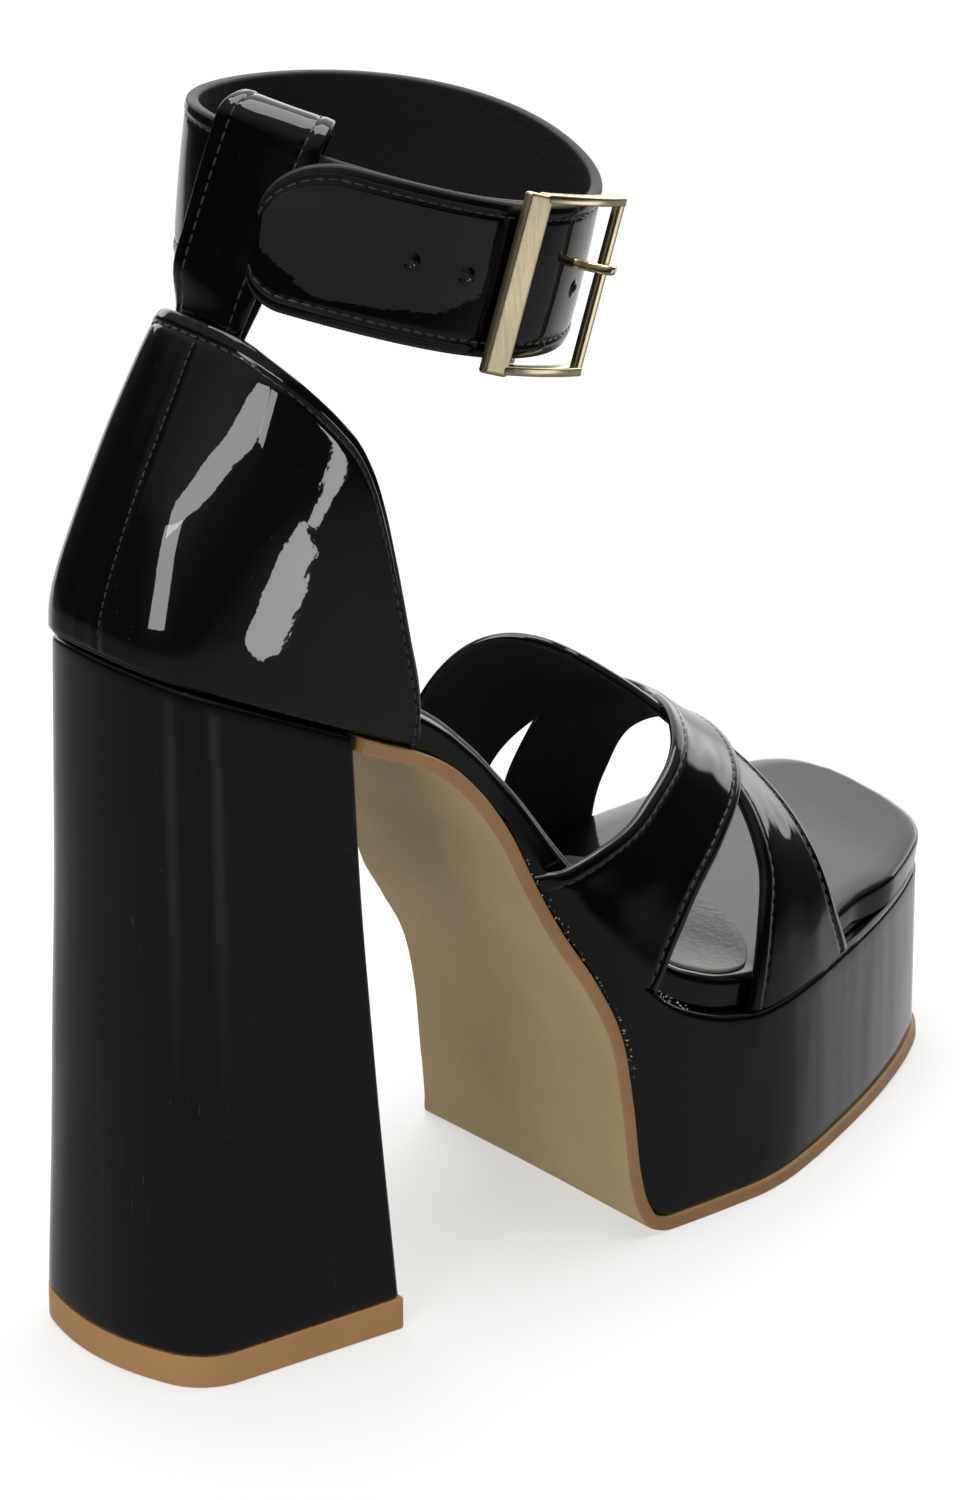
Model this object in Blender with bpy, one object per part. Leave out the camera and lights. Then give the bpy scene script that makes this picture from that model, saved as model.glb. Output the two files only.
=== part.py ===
"""Platform sandal for the right foot: block heel, wedge platform, crossed straps and buckled ankle strap.

The toe points along +X, the inner (medial) side is +Y and the floor is z = 0. The origin is the middle
of the heel lift's underside. Tables and sizes are in millimetres, and the meshes are in metres.
"""
import math

import bpy
import numpy as np

MM = 0.001
GAP = 0.3                      # clearance between two pieces that touch
PROBE = 0.05                   # small step for slopes along the foot
ANGLE_PROBE = 0.0001           # small step for directions round the leg, in radians
CREASE = math.radians(35)      # edges sharper than this are shaded as edges
BLACK = (0.01, 0.01, 0.011)    # patent leather
GOLD = (0.75, 0.58, 0.33)      # plated buckle


def table(columns, rows):
    """A table with named columns: a dictionary of arrays, one entry for each column."""
    return dict(zip(columns.split(), np.array(rows, float).T))


# Sole, seen from above: the outer edge on the lateral and on the medial side
OUTLINE = table("x lateral medial", [
    (-28.6, -4.5, 4.5),
    (-28.0, -9.5, 9.5),
    (-26.6, -14.0, 14.0),
    (-24.0, -17.8, 17.8),
    (-20.0, -20.7, 20.7),
    (-12.0, -23.0, 23.0),
    (5.0, -25.0, 25.0),
    (20.0, -25.5, 25.0),
    (35.0, -25.0, 23.5),
    (50.0, -25.2, 23.5),
    (60.0, -27.0, 26.0),
    (70.0, -30.5, 30.5),
    (80.0, -33.0, 34.6),
    (91.0, -34.0, 38.0),
    (105.0, -34.8, 43.2),
    (115.0, -35.0, 46.0),
    (122.0, -34.2, 47.5),
    (135.0, -30.5, 49.4),
    (147.0, -26.0, 50.0),
    (155.0, -22.8, 49.6),
    (165.0, -18.5, 48.6),
    (175.0, -13.6, 47.0),
    (183.0, -9.0, 45.4),
    (188.5, -5.0, 43.6),
    (192.5, 0.5, 40.8),
    (195.5, 10.5, 36.0),
    (197.0, 23.0, 29.0),
])
HEEL_END = OUTLINE["x"][0]
TOE_END = OUTLINE["x"][-1]

# Footbed: the heel seat is a slope, and rows give the arch and the flat forepart
SEAT_X = 16.0
SEAT_HEIGHT = 135.8
SEAT_SLOPE = 0.4955
SEAT_ANGLE = math.atan(SEAT_SLOPE)
FOOTBED = table("x top", [
    (-40.0, SEAT_HEIGHT + (SEAT_X + 40.0) * SEAT_SLOPE),
    (0.0, SEAT_HEIGHT + SEAT_X * SEAT_SLOPE),
    (SEAT_X, SEAT_HEIGHT),
    (35.0, 125.6),
    (48.9, 114.3),
    (55.3, 107.2),
    (62.9, 97.3),
    (69.4, 87.0),
    (80.0, 72.0),
    (90.0, 61.0),
    (100.0, 53.5),
    (110.0, 49.5),
    (120.0, 48.0),
    (170.0, 48.0),
    (210.0, 49.6),
])
INSOLE = table("x thickness inset", [
    (-40.0, 7.0, 1.6),
    (28.0, 7.0, 1.6),
    (46.0, 5.2, 2.0),
    (60.0, 5.2, 2.6),
    (76.0, 5.2, 2.7),
    (100.0, 6.8, 2.7),
    (157.0, 7.0, 2.7),
    (172.0, 7.0, 0.3),
    (210.0, 7.0, 0.3),
])
SEAT_THICKNESS = 7.0
INSOLE_GRID = (46, 6)          # stations along the foot, and points across it
PROFILE_MARGIN = 8.0           # how far sampled profiles run past heel and toe
PROFILE_SAMPLES = 500

# Outsole: underside of the thin sheet from the heel breast over the waist and breast wall to the toe
SHEET = 2.8
SHEET_PROUD = 0.8
SOLE_COLUMNS = 4               # points from the lateral to the medial edge of outsole and platform
OUTSOLE_STATIONS = 92
OUTSOLE_SAMPLES = 4000         # for measuring the length of its profile
OUTSOLE = table("x low medial_shift", [
    (10.0, 140.0, 0.0),
    (28.4, 119.0, 0.0),
    (38.7, 112.3, 0.0),
    (46.4, 104.5, 0.0),
    (53.3, 94.5, 0.0),
    (59.0, 82.0, 0.0),
    (65.0, 69.5, 0.0),
    (72.0, 57.0, 1.6),
    (77.0, 45.0, 4.2),
    (79.6, 30.0, 5.6),
    (81.4, 15.0, 5.8),
    (83.6, 6.6, 5.0),
    (87.0, 1.6, 2.6),
    (92.0, 0.0, 0.0),
    (152.0, 0.0, 0.0),
    (175.0, 0.5, 0.0),
    (200.0, 2.0, 0.0),
])
PLATFORM_STATIONS = 56
# Platform: which point of the footbed stands over which point of the outsole
PLATFORM = table("footbed outsole", [
    (56.0, 54.0),
    (62.0, 60.0),
    (68.0, 65.5),
    (77.0, 73.5),
    (86.0, 78.4),
    (95.0, 81.2),
    (103.0, 84.6),
    (109.0, 90.5),
    (118.0, 104.0),
    (130.0, 123.0),
    (142.0, 140.0),
    (TOE_END, TOE_END),
])

# Heel block and lift: straight sides that widen to the front, round rear corners and a flat breast
HEEL = table("height front back half_front half_rear", [
    (0.0, 23.4, -28.1, 30.2, 24.9),
    (0.35, 20.6, -27.2, 28.0, 23.6),
    (0.7, 18.2, -26.7, 26.2, 22.2),
    (1.0, 17.0, -26.7, 25.0, 21.3),
])
HEEL_CORNER = 13.0
HEEL_BULGE = 2.0               # how far the rear's corners lie in front of its middle, about
HEEL_REAR_TURN = 20.0          # degrees: how far the rear face turns from its middle to a corner
HEEL_SECTIONS = 9
SIDE_POINTS = 6                # of a section: along its straight side, round its corner, along half its rear
CORNER_POINTS = 9
REAR_POINTS = 5
LIFT_HEIGHT = 6.8
LIFT_PROUD = 0.9

# Counter: closed back of the upper, raised along the normal of the heel seat
COUNTER_WALL = 2.0
COUNTER_PROUD = 0.8
COUNTER_LEAN = -1.5
TOPLINE = table("x height", [
    (-30.0, 66.5),
    (-27.5, 65.9),
    (-23.6, 64.2),
    (-16.0, 61.2),
    (-8.0, 57.5),
    (-2.9, 54.5),
    (2.0, 49.8),
    (7.0, 43.2),
    (12.3, 35.2),
    (21.0, 21.8),
    (28.0, 11.5),
    (32.0, 2.5),
])
COUNTER_FRONT = 32.0
COUNTER_SAMPLES = 120          # for measuring the length of its foot
COUNTER_GRID = (49, 11)        # points round the heel, and points up the wall
COUNTER_SHAPE = table("height back width", [
    (0.0, 0.0, 1.0),
    (18.0, -1.6, 0.99),
    (41.0, -2.3, 0.95),
    (57.0, -2.2, 0.88),
    (67.0, -1.4, 0.82),
])

# Vamp: sections across the forefoot from the lateral foot (0) over the ridge (0.5) to the medial foot (1)
STRAP_WALL = 2.0
STRAP_GRID = (37, 8)           # points across the forefoot, and points from rear to front edge
RIDGE_SIDE = 8.0
RIDGE = table("x height", [
    (55.0, 128.0),
    (80.0, 121.4),
    (90.0, 117.4),
    (100.0, 112.0),
    (110.0, 104.5),
    (127.0, 91.0),
    (145.0, 78.0),
    (158.0, 67.0),
])
SECTION_POWER = 2.2
STRAP_INSET = 0.1
STRAP_OVER = table("across rear front", [
    (0.0, 64.4, 88.0),
    (0.1, 75.9, 99.4),
    (0.19, 90.4, 112.2),
    (0.27, 102.2, 121.8),
    (0.36, 111.0, 129.6),
    (0.44, 117.0, 134.5),
    (0.5, 120.6, 137.2),
    (0.75, 120.4, 145.0),
    (0.86, 117.5, 146.4),
    (1.0, 113.0, 146.0),
])
STRAP_UNDER = table("across rear front", [
    (0.0, 113.0, 150.0),
    (0.08, 117.0, 146.0),
    (0.17, 121.6, 143.8),
    (0.25, 122.6, 141.7),
    (0.33, 120.6, 138.6),
    (0.42, 113.7, 135.0),
    (0.5, 103.0, 131.0),
    (0.6, 93.2, 126.0),
    (0.745, 84.0, 119.0),
    (0.86, 78.8, 109.0),
    (1.0, 75.0, 100.0),
])
CROSSING_LIFT = 1.6
CROSSING = table("across lift", [
    (0.0, 0.0),
    (0.18, 0.0),
    (0.31, CROSSING_LIFT),
    (0.7, CROSSING_LIFT),
    (0.84, 0.0),
    (1.0, 0.0),
])

# Ankle band: an oval round the leg that drops to the front, rises to the medial side and leans forward
BAND_CENTRE = (49.35, 3.6)
BAND_HEIGHT = 218.5
BAND_HALF_LENGTH = 40.8
BAND_HALF_WIDTH = 32.2
BAND_TURN = math.radians(1.9)
BAND_FRONT_DROP = 10.0
BAND_MEDIAL_RISE = 4.5
BAND_SADDLE = 1.2
BAND_TWIST = 1.4
BAND_LEAN = 0.27               # forward run for each unit of height
BAND_LEAN_LATERAL = 0.16       # how much more it leans on the lateral side than at front and back
BAND_SPREAD = 0.06             # medial run for each unit of height
BAND_WIDTH = 30.0
BAND_THICKNESS = 2.4
BAND_GRID = (76, 5)            # points along the band, and points up it
STRAP_START = 281.3            # degrees: sewn end beside the buckle's centre bar
STRAP_TIP = -160.5             # degrees: the free end after one turn and the lap
TIP_RADIUS = 11.0
LAP = table("angle offset", [
    (-170.0, 4.9),
    (-146.0, 4.9),
    (-112.0, 2.8),
    (-76.0, 2.8),
    (-5.0, 0.0),
    (400.0, 0.0),
])

# Back loop: a strip from inside the counter up behind the band, over it and down again
LOOP_ANGLE = 189.5
LOOP_SLANT = 0.33              # degrees round the leg for each millimetre up the band
LOOP_WIDTH = 19.0
LOOP_THICKNESS = 1.5
LOOP_CLEARANCE = 0.4           # between strip and band
LOOP_SEAM = 0.6                # between strip and counter, and between the strip's two ends
LOOP_OFFSET = BAND_THICKNESS / 2 + LOOP_CLEARANCE + LOOP_THICKNESS / 2
LOOP_COLUMNS = 7
LOOP_LEVELS = (-14.0, -6.0, 4.0)                # places up the band where the strip runs straight
FOLD_TURNS = (30.0, 60.0, 90.0, 120.0, 150.0)   # degrees: places round the fold over the band
LOOP_RISE = 6.0                # how far the fold stands over the band's upper edge
LOOP_FOOT_TURN = 0.138         # half of its width, as a share of the counter's foot
LOOP_FOOT = 48.0               # height on the counter where the strip's ends are sewn
LOOP_FOOT_ROWS = 4

# Buckle: flat frame with one wide bar, a thin bar, and a centre bar under the lap
BUCKLE_ANGLE = 274.0           # degrees: where the frame lies flat on the lap
BUCKLE_REAR = -7.2             # the wide bar's outer edge, along the band from that place
BUCKLE_LENGTH = 28.2
BUCKLE_HALF_HEIGHT = 17.6
BUCKLE_WIDE_BAR = 6.6
BUCKLE_THIN_BAR = 2.4
BUCKLE_RAIL = 1.9
BUCKLE_THICKNESS = 1.9
BUCKLE_UNDERSIDE = 4.4         # over the band's middle surface
BUCKLE_TRIM = 0.06             # how far joined bars stand back from each other's faces
CENTRE_BAR = 1.8
CENTRE_BAR_PLACE = (7.1, -0.3)
PRONG_WIDTH = 1.9
PRONG_THICKNESS = 1.3
PRONG_LEVEL = 3.5
PRONG_PATH = table("along out", [
    (8.7, -0.9),
    (10.2, -0.6),
    (12.6, 1.6),
    (15.2, 4.9),
    (17.8, 6.9),
    (19.9, 7.3),
    (21.8, 6.9),
])
PRONG_HOLE_START = 9.6
PRONG_HOLE_END = 15.6
PRONG_HOLE_HALF = 1.5
PRONG_HOLE_DEPTH = (-3.0, 4.2)


def smooth(columns, name, at, key="x"):
    """A column's value at a place: cubic pieces through the rows that never swing past them."""
    keys, values = columns[key], columns[name]
    widths = np.diff(keys)
    slopes = np.diff(values) / widths
    product = slopes[1:] * slopes[:-1]
    total = np.where(product > 0, slopes[1:] + slopes[:-1], 1.0)
    inner = np.where(product > 0, 2 * product / total, 0.0)
    tangents = np.concatenate([slopes[:1], inner, slopes[-1:]])
    at = np.clip(np.asarray(at, float), keys[0], keys[-1])
    i = np.clip(np.searchsorted(keys, at, side="right") - 1, 0, len(widths) - 1)
    f = (at - keys[i]) / widths[i]
    rise = values[i] * (1 + 2 * f) * (1 - f) ** 2 + values[i + 1] * f * f * (3 - 2 * f)
    return rise + widths[i] * (tangents[i] * f * (1 - f) ** 2 - tangents[i + 1] * f * f * (1 - f))


def footbed(x):
    """Height of the insole's upper face along the foot."""
    return smooth(FOOTBED, "top", x)


def beside(profile, x, distance):
    """Points that lie a distance from a profile along its own normal, upwards if positive."""
    slope = (profile(x + PROBE) - profile(x - PROBE)) / (2 * PROBE)
    length = np.hypot(1.0, slope)
    return x - distance * slope / length, profile(x) + distance / length


def breast_shift(x, share):
    """How far the breast wall stands forward towards the medial side, where share is 1."""
    return smooth(OUTSOLE, "medial_shift", x) * share


def under_footbed(x, extra):
    """Height at places x of the face under the footbed by the insole's thickness and an extra depth."""
    along = np.linspace(HEEL_END - PROFILE_MARGIN, TOE_END + PROFILE_MARGIN, PROFILE_SAMPLES)
    low_x, low_z = beside(footbed, along, -smooth(INSOLE, "thickness", along) - extra)
    return np.interp(x, low_x, low_z)


def insole_underside(x):
    """Height of the insole's lower face."""
    return under_footbed(x, 0.0)


def outsole_low(x):
    """Height of the outsole's underside: the table, or lower where the insole needs the room."""
    return np.minimum(smooth(OUTSOLE, "low", x), under_footbed(x, GAP + SHEET))


def heel_top(x):
    """Height of the sloped plane on which counter and insole stand over the heel."""
    drop = (SEAT_THICKNESS + GAP) / math.cos(SEAT_ANGLE)
    return SEAT_HEIGHT + (SEAT_X - x) * SEAT_SLOPE - drop


def rim(x, inset):
    """Lateral and medial edge of the sole's outline at stations x, moved inwards by an inset."""
    edges = []
    for name, inwards in (("lateral", 1.0), ("medial", -1.0)):
        y = smooth(OUTLINE, name, x)
        along = np.gradient(np.stack([x, y], 1), axis=0)
        along /= np.linalg.norm(along, axis=1)[:, None]
        shift = inwards * np.stack([-along[:, 1], along[:, 0]], 1)
        edges.append(np.stack([x, y], 1) + shift * np.reshape(inset, (-1, 1)))
    return edges


def across(x, inset, count):
    """Grid of plan points, one row for each station and count points from lateral to medial."""
    lateral, medial = rim(x, inset)
    share = np.linspace(0, 1, count)[None, :, None]
    return lateral[:, None, :] * (1 - share) + medial[:, None, :] * share


def close_to_ends(start, end, count):
    """Stations that crowd together towards both ends."""
    return start + (end - start) * (1 - np.cos(np.linspace(0, math.pi, count))) / 2


def close_to_toe(start, end, count):
    """Stations that crowd together towards the far end only."""
    return start + (end - start) * np.sin(np.linspace(0, math.pi / 2, count))


def shell_mesh(outer, inner):
    """Closed wall between two grids of points with the same rows and columns."""
    rows, columns = outer.shape[:2]
    count = rows * columns
    index = np.arange(count).reshape(rows, columns)
    quads = np.stack([index[:-1, :-1], index[1:, :-1], index[1:, 1:], index[:-1, 1:]], -1)
    quads = quads.reshape(-1, 4)
    loop = np.concatenate([index[0, :-1], index[:-1, -1], index[-1, :0:-1], index[:0:-1, 0]])
    after = np.roll(loop, -1)
    rim_quads = np.stack([loop, after, after + count, loop + count], 1)
    points = np.concatenate([outer.reshape(-1, 3), inner.reshape(-1, 3)])
    return points, np.concatenate([quads, quads[:, ::-1] + count, rim_quads]).tolist()


def loft_mesh(loops):
    """Closed body through rings of points with flat ends."""
    levels, count = loops.shape[:2]
    index = np.arange(levels * count).reshape(levels, count)
    after = np.roll(index, -1, axis=1)
    sides = np.stack([index[:-1], after[:-1], after[1:], index[1:]], -1).reshape(-1, 4)
    faces = sides.tolist() + [index[0, ::-1].tolist(), index[-1].tolist()]
    return loops.reshape(-1, 3), faces


def volume(points, faces):
    """Signed volume of a closed body, positive where its faces point outwards."""
    total = 0.0
    for face in faces:
        corner = points[face[0]]
        for one, two in zip(face[1:-1], face[2:]):
            total += np.dot(corner, np.cross(points[one], points[two]))
    return total / 6


def thickened(outer, depth):
    """Inner grid of a wall: the outer grid moved along its surface normals by a depth."""
    along = np.gradient(outer, axis=0)
    sideways = np.gradient(outer, axis=1)
    normal = np.cross(along, sideways)
    normal /= np.linalg.norm(normal, axis=2)[:, :, None]
    return outer - normal * depth


def finish(name, colour, roughness, metallic=0.0):
    """Principled material of one sub-part."""
    material = bpy.data.materials.new(name)
    material.use_nodes = True
    shader = material.node_tree.nodes["Principled BSDF"]
    shader.inputs["Base Color"].default_value = (*colour, 1.0)
    shader.inputs["Roughness"].default_value = roughness
    shader.inputs["Metallic"].default_value = metallic
    return material


def add_piece(name, body, material):
    """Object of one closed body, given in millimetres, with its faces turned outwards."""
    points, faces = body
    if volume(points, faces) < 0:
        faces = [face[::-1] for face in faces]
    mesh = bpy.data.meshes.new(name)
    mesh.from_pydata((points * MM).tolist(), [], faces)
    mesh.shade_smooth()
    mesh.set_sharp_from_angle(angle=CREASE)
    mesh.materials.append(material)
    piece = bpy.data.objects.new(name, mesh)
    bpy.context.collection.objects.link(piece)
    return piece


def add_guide(name, body, material):
    """Body that only joins or cuts another one and isn't a piece itself."""
    guide = add_piece(name, body, material)
    guide.hide_render = True
    guide.display_type = "WIRE"
    return guide


def combine(piece, guide, operation):
    """Exact Boolean of a piece with a guide."""
    step = piece.modifiers.new(guide.name, "BOOLEAN")
    step.operation = operation
    step.object = guide
    step.solver = "EXACT"


def make_insole():
    """Footbed slab along the whole foot, at right angles to its own slope."""
    stations, columns = INSOLE_GRID
    x = close_to_ends(HEEL_END, TOE_END, stations)
    plan = across(x, smooth(INSOLE, "inset", x), columns)
    place, side = plan[..., 0], plan[..., 1]
    low = np.stack([place, side, insole_underside(place)], -1)
    top_x, top_z = beside(insole_underside, place, smooth(INSOLE, "thickness", place))
    add_piece("insole", shell_mesh(np.stack([top_x, side, top_z], -1), low),
              finish("insole_leather", (0.02, 0.02, 0.022), 0.45))


def make_outsole():
    """Thin sheet from the heel breast down the waist and breast wall and along the floor to the toe."""
    start = HEEL["front"][-1] + 2 * GAP
    dense = np.linspace(start, TOE_END, OUTSOLE_SAMPLES)
    length = np.concatenate([[0], np.cumsum(np.hypot(np.diff(dense), np.diff(outsole_low(dense))))])
    x = np.interp(close_to_toe(0, length[-1], OUTSOLE_STATIONS), length, dense)
    plan = across(x, np.full(len(x), -SHEET_PROUD), SOLE_COLUMNS)
    place, side = plan[..., 0], plan[..., 1]
    shift = breast_shift(place, np.linspace(0, 1, SOLE_COLUMNS))
    low = np.stack([place + shift, side, outsole_low(place)], -1)
    top_x, top_z = beside(outsole_low, place, SHEET)
    add_piece("outsole", shell_mesh(np.stack([top_x + shift, side, top_z], -1), low),
              finish("outsole_sheet", (0.47, 0.35, 0.17), 0.5))


def make_platform():
    """Wedge and slab that fill the height between outsole and insole."""
    x = close_to_toe(PLATFORM["footbed"][0], TOE_END, PLATFORM_STATIONS)
    upper = across(x, np.zeros(len(x)), SOLE_COLUMNS)
    top_x, top_z = beside(insole_underside, upper[..., 0], -GAP)
    lower = across(smooth(PLATFORM, "outsole", x, key="footbed"), np.zeros(len(x)), SOLE_COLUMNS)
    shift = breast_shift(lower[..., 0], np.linspace(0, 1, SOLE_COLUMNS))
    low_x, low_z = beside(outsole_low, lower[..., 0], SHEET + GAP)
    add_piece("platform", shell_mesh(np.stack([top_x, upper[..., 1], top_z], -1),
                                     np.stack([low_x + shift, lower[..., 1], low_z], -1)),
              finish("platform_wrap", (0.012, 0.012, 0.013), 0.12))


def heel_outline(front, back, half_front, half_rear):
    """Plan of heel and lift: flat breast, straight sides, round rear corners and a slightly round rear."""
    corner_x = back + HEEL_BULGE
    tilt = math.atan2(half_front - half_rear, front - corner_x)
    reach = HEEL_CORNER * math.tan(math.pi / 4 - tilt / 2)
    side_end = np.array([corner_x + reach * math.cos(tilt), half_rear + reach * math.sin(tilt)])
    rear_half = half_rear - reach
    bow = math.radians(HEEL_REAR_TURN)
    turn = np.linspace(math.pi / 2 + tilt, math.pi - bow, CORNER_POINTS)
    hub = np.array([corner_x + HEEL_CORNER, rear_half])
    arc = hub + HEEL_CORNER * np.stack([np.cos(turn), np.sin(turn)], 1)
    share = np.linspace(0, 1, SIDE_POINTS)[:-1, None]
    straight = np.array([front, half_front]) * (1 - share) + side_end * share
    end_x, end_y = arc[-1]
    rear_y = np.linspace(end_y, 0, REAR_POINTS)[1:]
    depth = end_y * math.tan(bow) / 2
    rear = np.column_stack([end_x - depth * (1 - (rear_y / end_y) ** 2), rear_y])
    medial = np.concatenate([straight, arc, rear])
    lateral = medial[-2::-1] * np.array([1.0, -1.0])
    return np.concatenate([medial, lateral])


def make_heel():
    """Block heel with its lift: sections from the floor to the sloped heel seat."""
    columns = ("front", "back", "half_front", "half_rear")
    floor = LIFT_HEIGHT + GAP
    loops = []
    for share in np.linspace(0, 1, HEEL_SECTIONS):
        plan = heel_outline(*(float(smooth(HEEL, name, share, key="height")) for name in columns))
        height = floor + share * (heel_top(plan[:, 0]) - floor)
        loops.append(np.column_stack([plan, height]))
    add_piece("heel", loft_mesh(np.array(loops)), finish("heel_wrap", (0.014, 0.014, 0.016), 0.2))
    front, back, half_front, half_rear = (HEEL[name][0] for name in columns)
    plan = heel_outline(front + LIFT_PROUD, back, half_front + LIFT_PROUD / 2, half_rear)
    lift = [np.column_stack([plan, np.full(len(plan), level)]) for level in (0.0, LIFT_HEIGHT)]
    add_piece("heel_lift", loft_mesh(np.array(lift)), finish("heel_lift_rubber", (0.42, 0.24, 0.1), 0.5))


def heel_line(turn):
    """Plan of the counter's foot: -1 at the lateral front, 0 at the back, 1 at the medial front."""
    x = close_to_ends(HEEL_END, COUNTER_FRONT, COUNTER_SAMPLES)
    places = []
    for edge in rim(x, np.full(len(x), -COUNTER_PROUD)):
        line = np.concatenate([[(edge[0, 0], 0.0)], edge])
        length = np.concatenate([[0], np.cumsum(np.linalg.norm(np.diff(line, axis=0), axis=1))])
        share = np.abs(turn) * length[-1]
        places.append(np.stack([np.interp(share, length, line[:, way]) for way in (0, 1)], -1))
    return np.where((turn < 0)[..., None], places[0], places[1])


def counter_surface(turn, height):
    """Outer face of the counter: the heel's outline, bulged at the back and drawn in towards the top."""
    plan = heel_line(turn)
    x = plan[..., 0]
    side = plan[..., 1] * smooth(COUNTER_SHAPE, "width", height, key="height")
    forward = np.clip((x - HEEL_END) / (COUNTER_FRONT - HEEL_END), 0, 1)
    slide = smooth(COUNTER_SHAPE, "back", height, key="height") * (1 - forward)
    place = x + slide * math.cos(SEAT_ANGLE) + height * math.sin(SEAT_ANGLE)
    level = heel_top(x) - slide * math.sin(SEAT_ANGLE) + height * math.cos(SEAT_ANGLE)
    return np.stack([place, side + COUNTER_LEAN * height / TOPLINE["height"][0], level], -1)


def make_counter():
    """Closed back of the upper with a topline that runs down to the waist on both sides."""
    turns, levels = COUNTER_GRID
    turn, share = np.meshgrid(np.linspace(-1, 1, turns), np.linspace(0, 1, levels), indexing="ij")
    height = GAP + share * (smooth(TOPLINE, "height", heel_line(turn)[..., 0]) - GAP)
    outer = counter_surface(turn, height)
    add_piece("heel_counter", shell_mesh(outer, thickened(outer, -COUNTER_WALL)),
              finish("counter_patent", BLACK, 0.08))


def vamp_surface(x, share):
    """Outer face over the forefoot: a rounded section from one edge of the sole over to the other."""
    lateral = smooth(OUTLINE, "lateral", x) + STRAP_INSET
    medial = smooth(OUTLINE, "medial", x) - STRAP_INSET
    base = insole_underside(x)
    turn = np.pi * np.where(share < 0.5, share, 1 - share)
    spread = np.cos(turn).clip(0) ** (2 / SECTION_POWER)
    rise = np.sin(turn) ** (2 / SECTION_POWER)
    edge = np.where(share < 0.5, lateral, medial)
    return np.stack([x, RIDGE_SIDE + (edge - RIDGE_SIDE) * spread,
                     base + (smooth(RIDGE, "height", x) - base) * rise], -1)


def strap_grid(edges, lift):
    """Outer face of one strap from its rear to its front edge and from foot to foot."""
    shares, steps = STRAP_GRID
    share, along = np.meshgrid(np.linspace(0, 1, shares), np.linspace(0, 1, steps), indexing="ij")
    rear = smooth(edges, "rear", share, key="across")
    front = smooth(edges, "front", share, key="across")
    x = rear + (front - rear) * along
    face = vamp_surface(x, share)
    return thickened(face, lift * smooth(CROSSING, "lift", share, key="across")[..., None])


def make_vamp():
    """Two straps that cross over the forefoot, the upper one stepping over the lower one."""
    patent = finish("vamp_patent", BLACK, 0.08)
    over = strap_grid(STRAP_OVER, 1.0)
    under = strap_grid(STRAP_UNDER, 0.0)
    piece = add_piece("vamp_straps", shell_mesh(over, thickened(over, -STRAP_WALL)), patent)
    guide = add_guide("under_strap", shell_mesh(under, thickened(under, -STRAP_WALL)), patent)
    combine(piece, guide, "UNION")


def band_middle(angle):
    """Middle line of the ankle band at an angle round the leg, 0 at the front and 90 degrees medial."""
    height = (BAND_HEIGHT - BAND_FRONT_DROP * np.cos(angle) + BAND_MEDIAL_RISE * np.sin(angle)
              + BAND_SADDLE * np.cos(2 * angle) + BAND_TWIST * np.sin(2 * angle))
    along = BAND_HALF_LENGTH * np.cos(angle)
    side = BAND_HALF_WIDTH * np.sin(angle)
    x = BAND_CENTRE[0] + along * math.cos(BAND_TURN) - side * math.sin(BAND_TURN)
    y = BAND_CENTRE[1] + along * math.sin(BAND_TURN) + side * math.cos(BAND_TURN)
    return np.stack([x, y, height], -1)


def band_axes(degrees):
    """Directions at an angle round the leg: along the band, up the band and outwards."""
    angle = np.radians(degrees)
    along = band_middle(angle + ANGLE_PROBE) - band_middle(angle - ANGLE_PROBE)
    lean = BAND_LEAN - BAND_LEAN_LATERAL * np.sin(angle)
    up = np.stack([lean, np.full_like(lean, BAND_SPREAD), np.ones_like(lean)], -1)
    out = np.cross(along, up)
    return [way / np.linalg.norm(way, axis=-1)[..., None] for way in (along, up, out)]


def band_point(degrees, level, offset):
    """Place beside the ankle: an angle round the leg, a level up the band and an offset outwards."""
    _, up, out = band_axes(degrees)
    middle = band_middle(np.radians(degrees))
    return middle + up * np.asarray(level)[..., None] + out * np.asarray(offset)[..., None]


def band_speed(degrees):
    """Millimetres of band for each degree round the leg."""
    step = 0.5
    ends = band_middle(np.radians(np.array([degrees - step, degrees + step])))
    return np.linalg.norm(ends[1] - ends[0]) / (2 * step)


def make_ankle_strap():
    """Band from its sewn end once round the leg, through the buckle and over itself to its tip."""
    stations, columns = BAND_GRID
    ends = np.linspace(STRAP_START, STRAP_TIP, stations)
    left = np.abs(ends - STRAP_TIP) * band_speed(STRAP_TIP)
    inside = np.clip(TIP_RADIUS - left, 0, TIP_RADIUS)
    half = BAND_WIDTH / 2 - (TIP_RADIUS - np.sqrt(TIP_RADIUS ** 2 - inside ** 2))
    degrees, share = np.meshgrid(ends, np.linspace(-1, 1, columns), indexing="ij")
    level = share * half[:, None]
    middle = smooth(LAP, "offset", degrees, key="angle")
    outer = band_point(degrees, level, middle + BAND_THICKNESS / 2)
    inner = band_point(degrees, level, middle - BAND_THICKNESS / 2)
    patent = finish("ankle_strap_patent", BLACK, 0.1)
    strap = add_piece("ankle_strap", shell_mesh(outer, inner), patent)
    levels = (PRONG_LEVEL - PRONG_HOLE_HALF, PRONG_LEVEL + PRONG_HOLE_HALF)
    hole = buckle_block((PRONG_HOLE_START, PRONG_HOLE_END), levels, PRONG_HOLE_DEPTH)
    combine(strap, add_guide("prong_hole", hole, patent), "DIFFERENCE")


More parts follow.
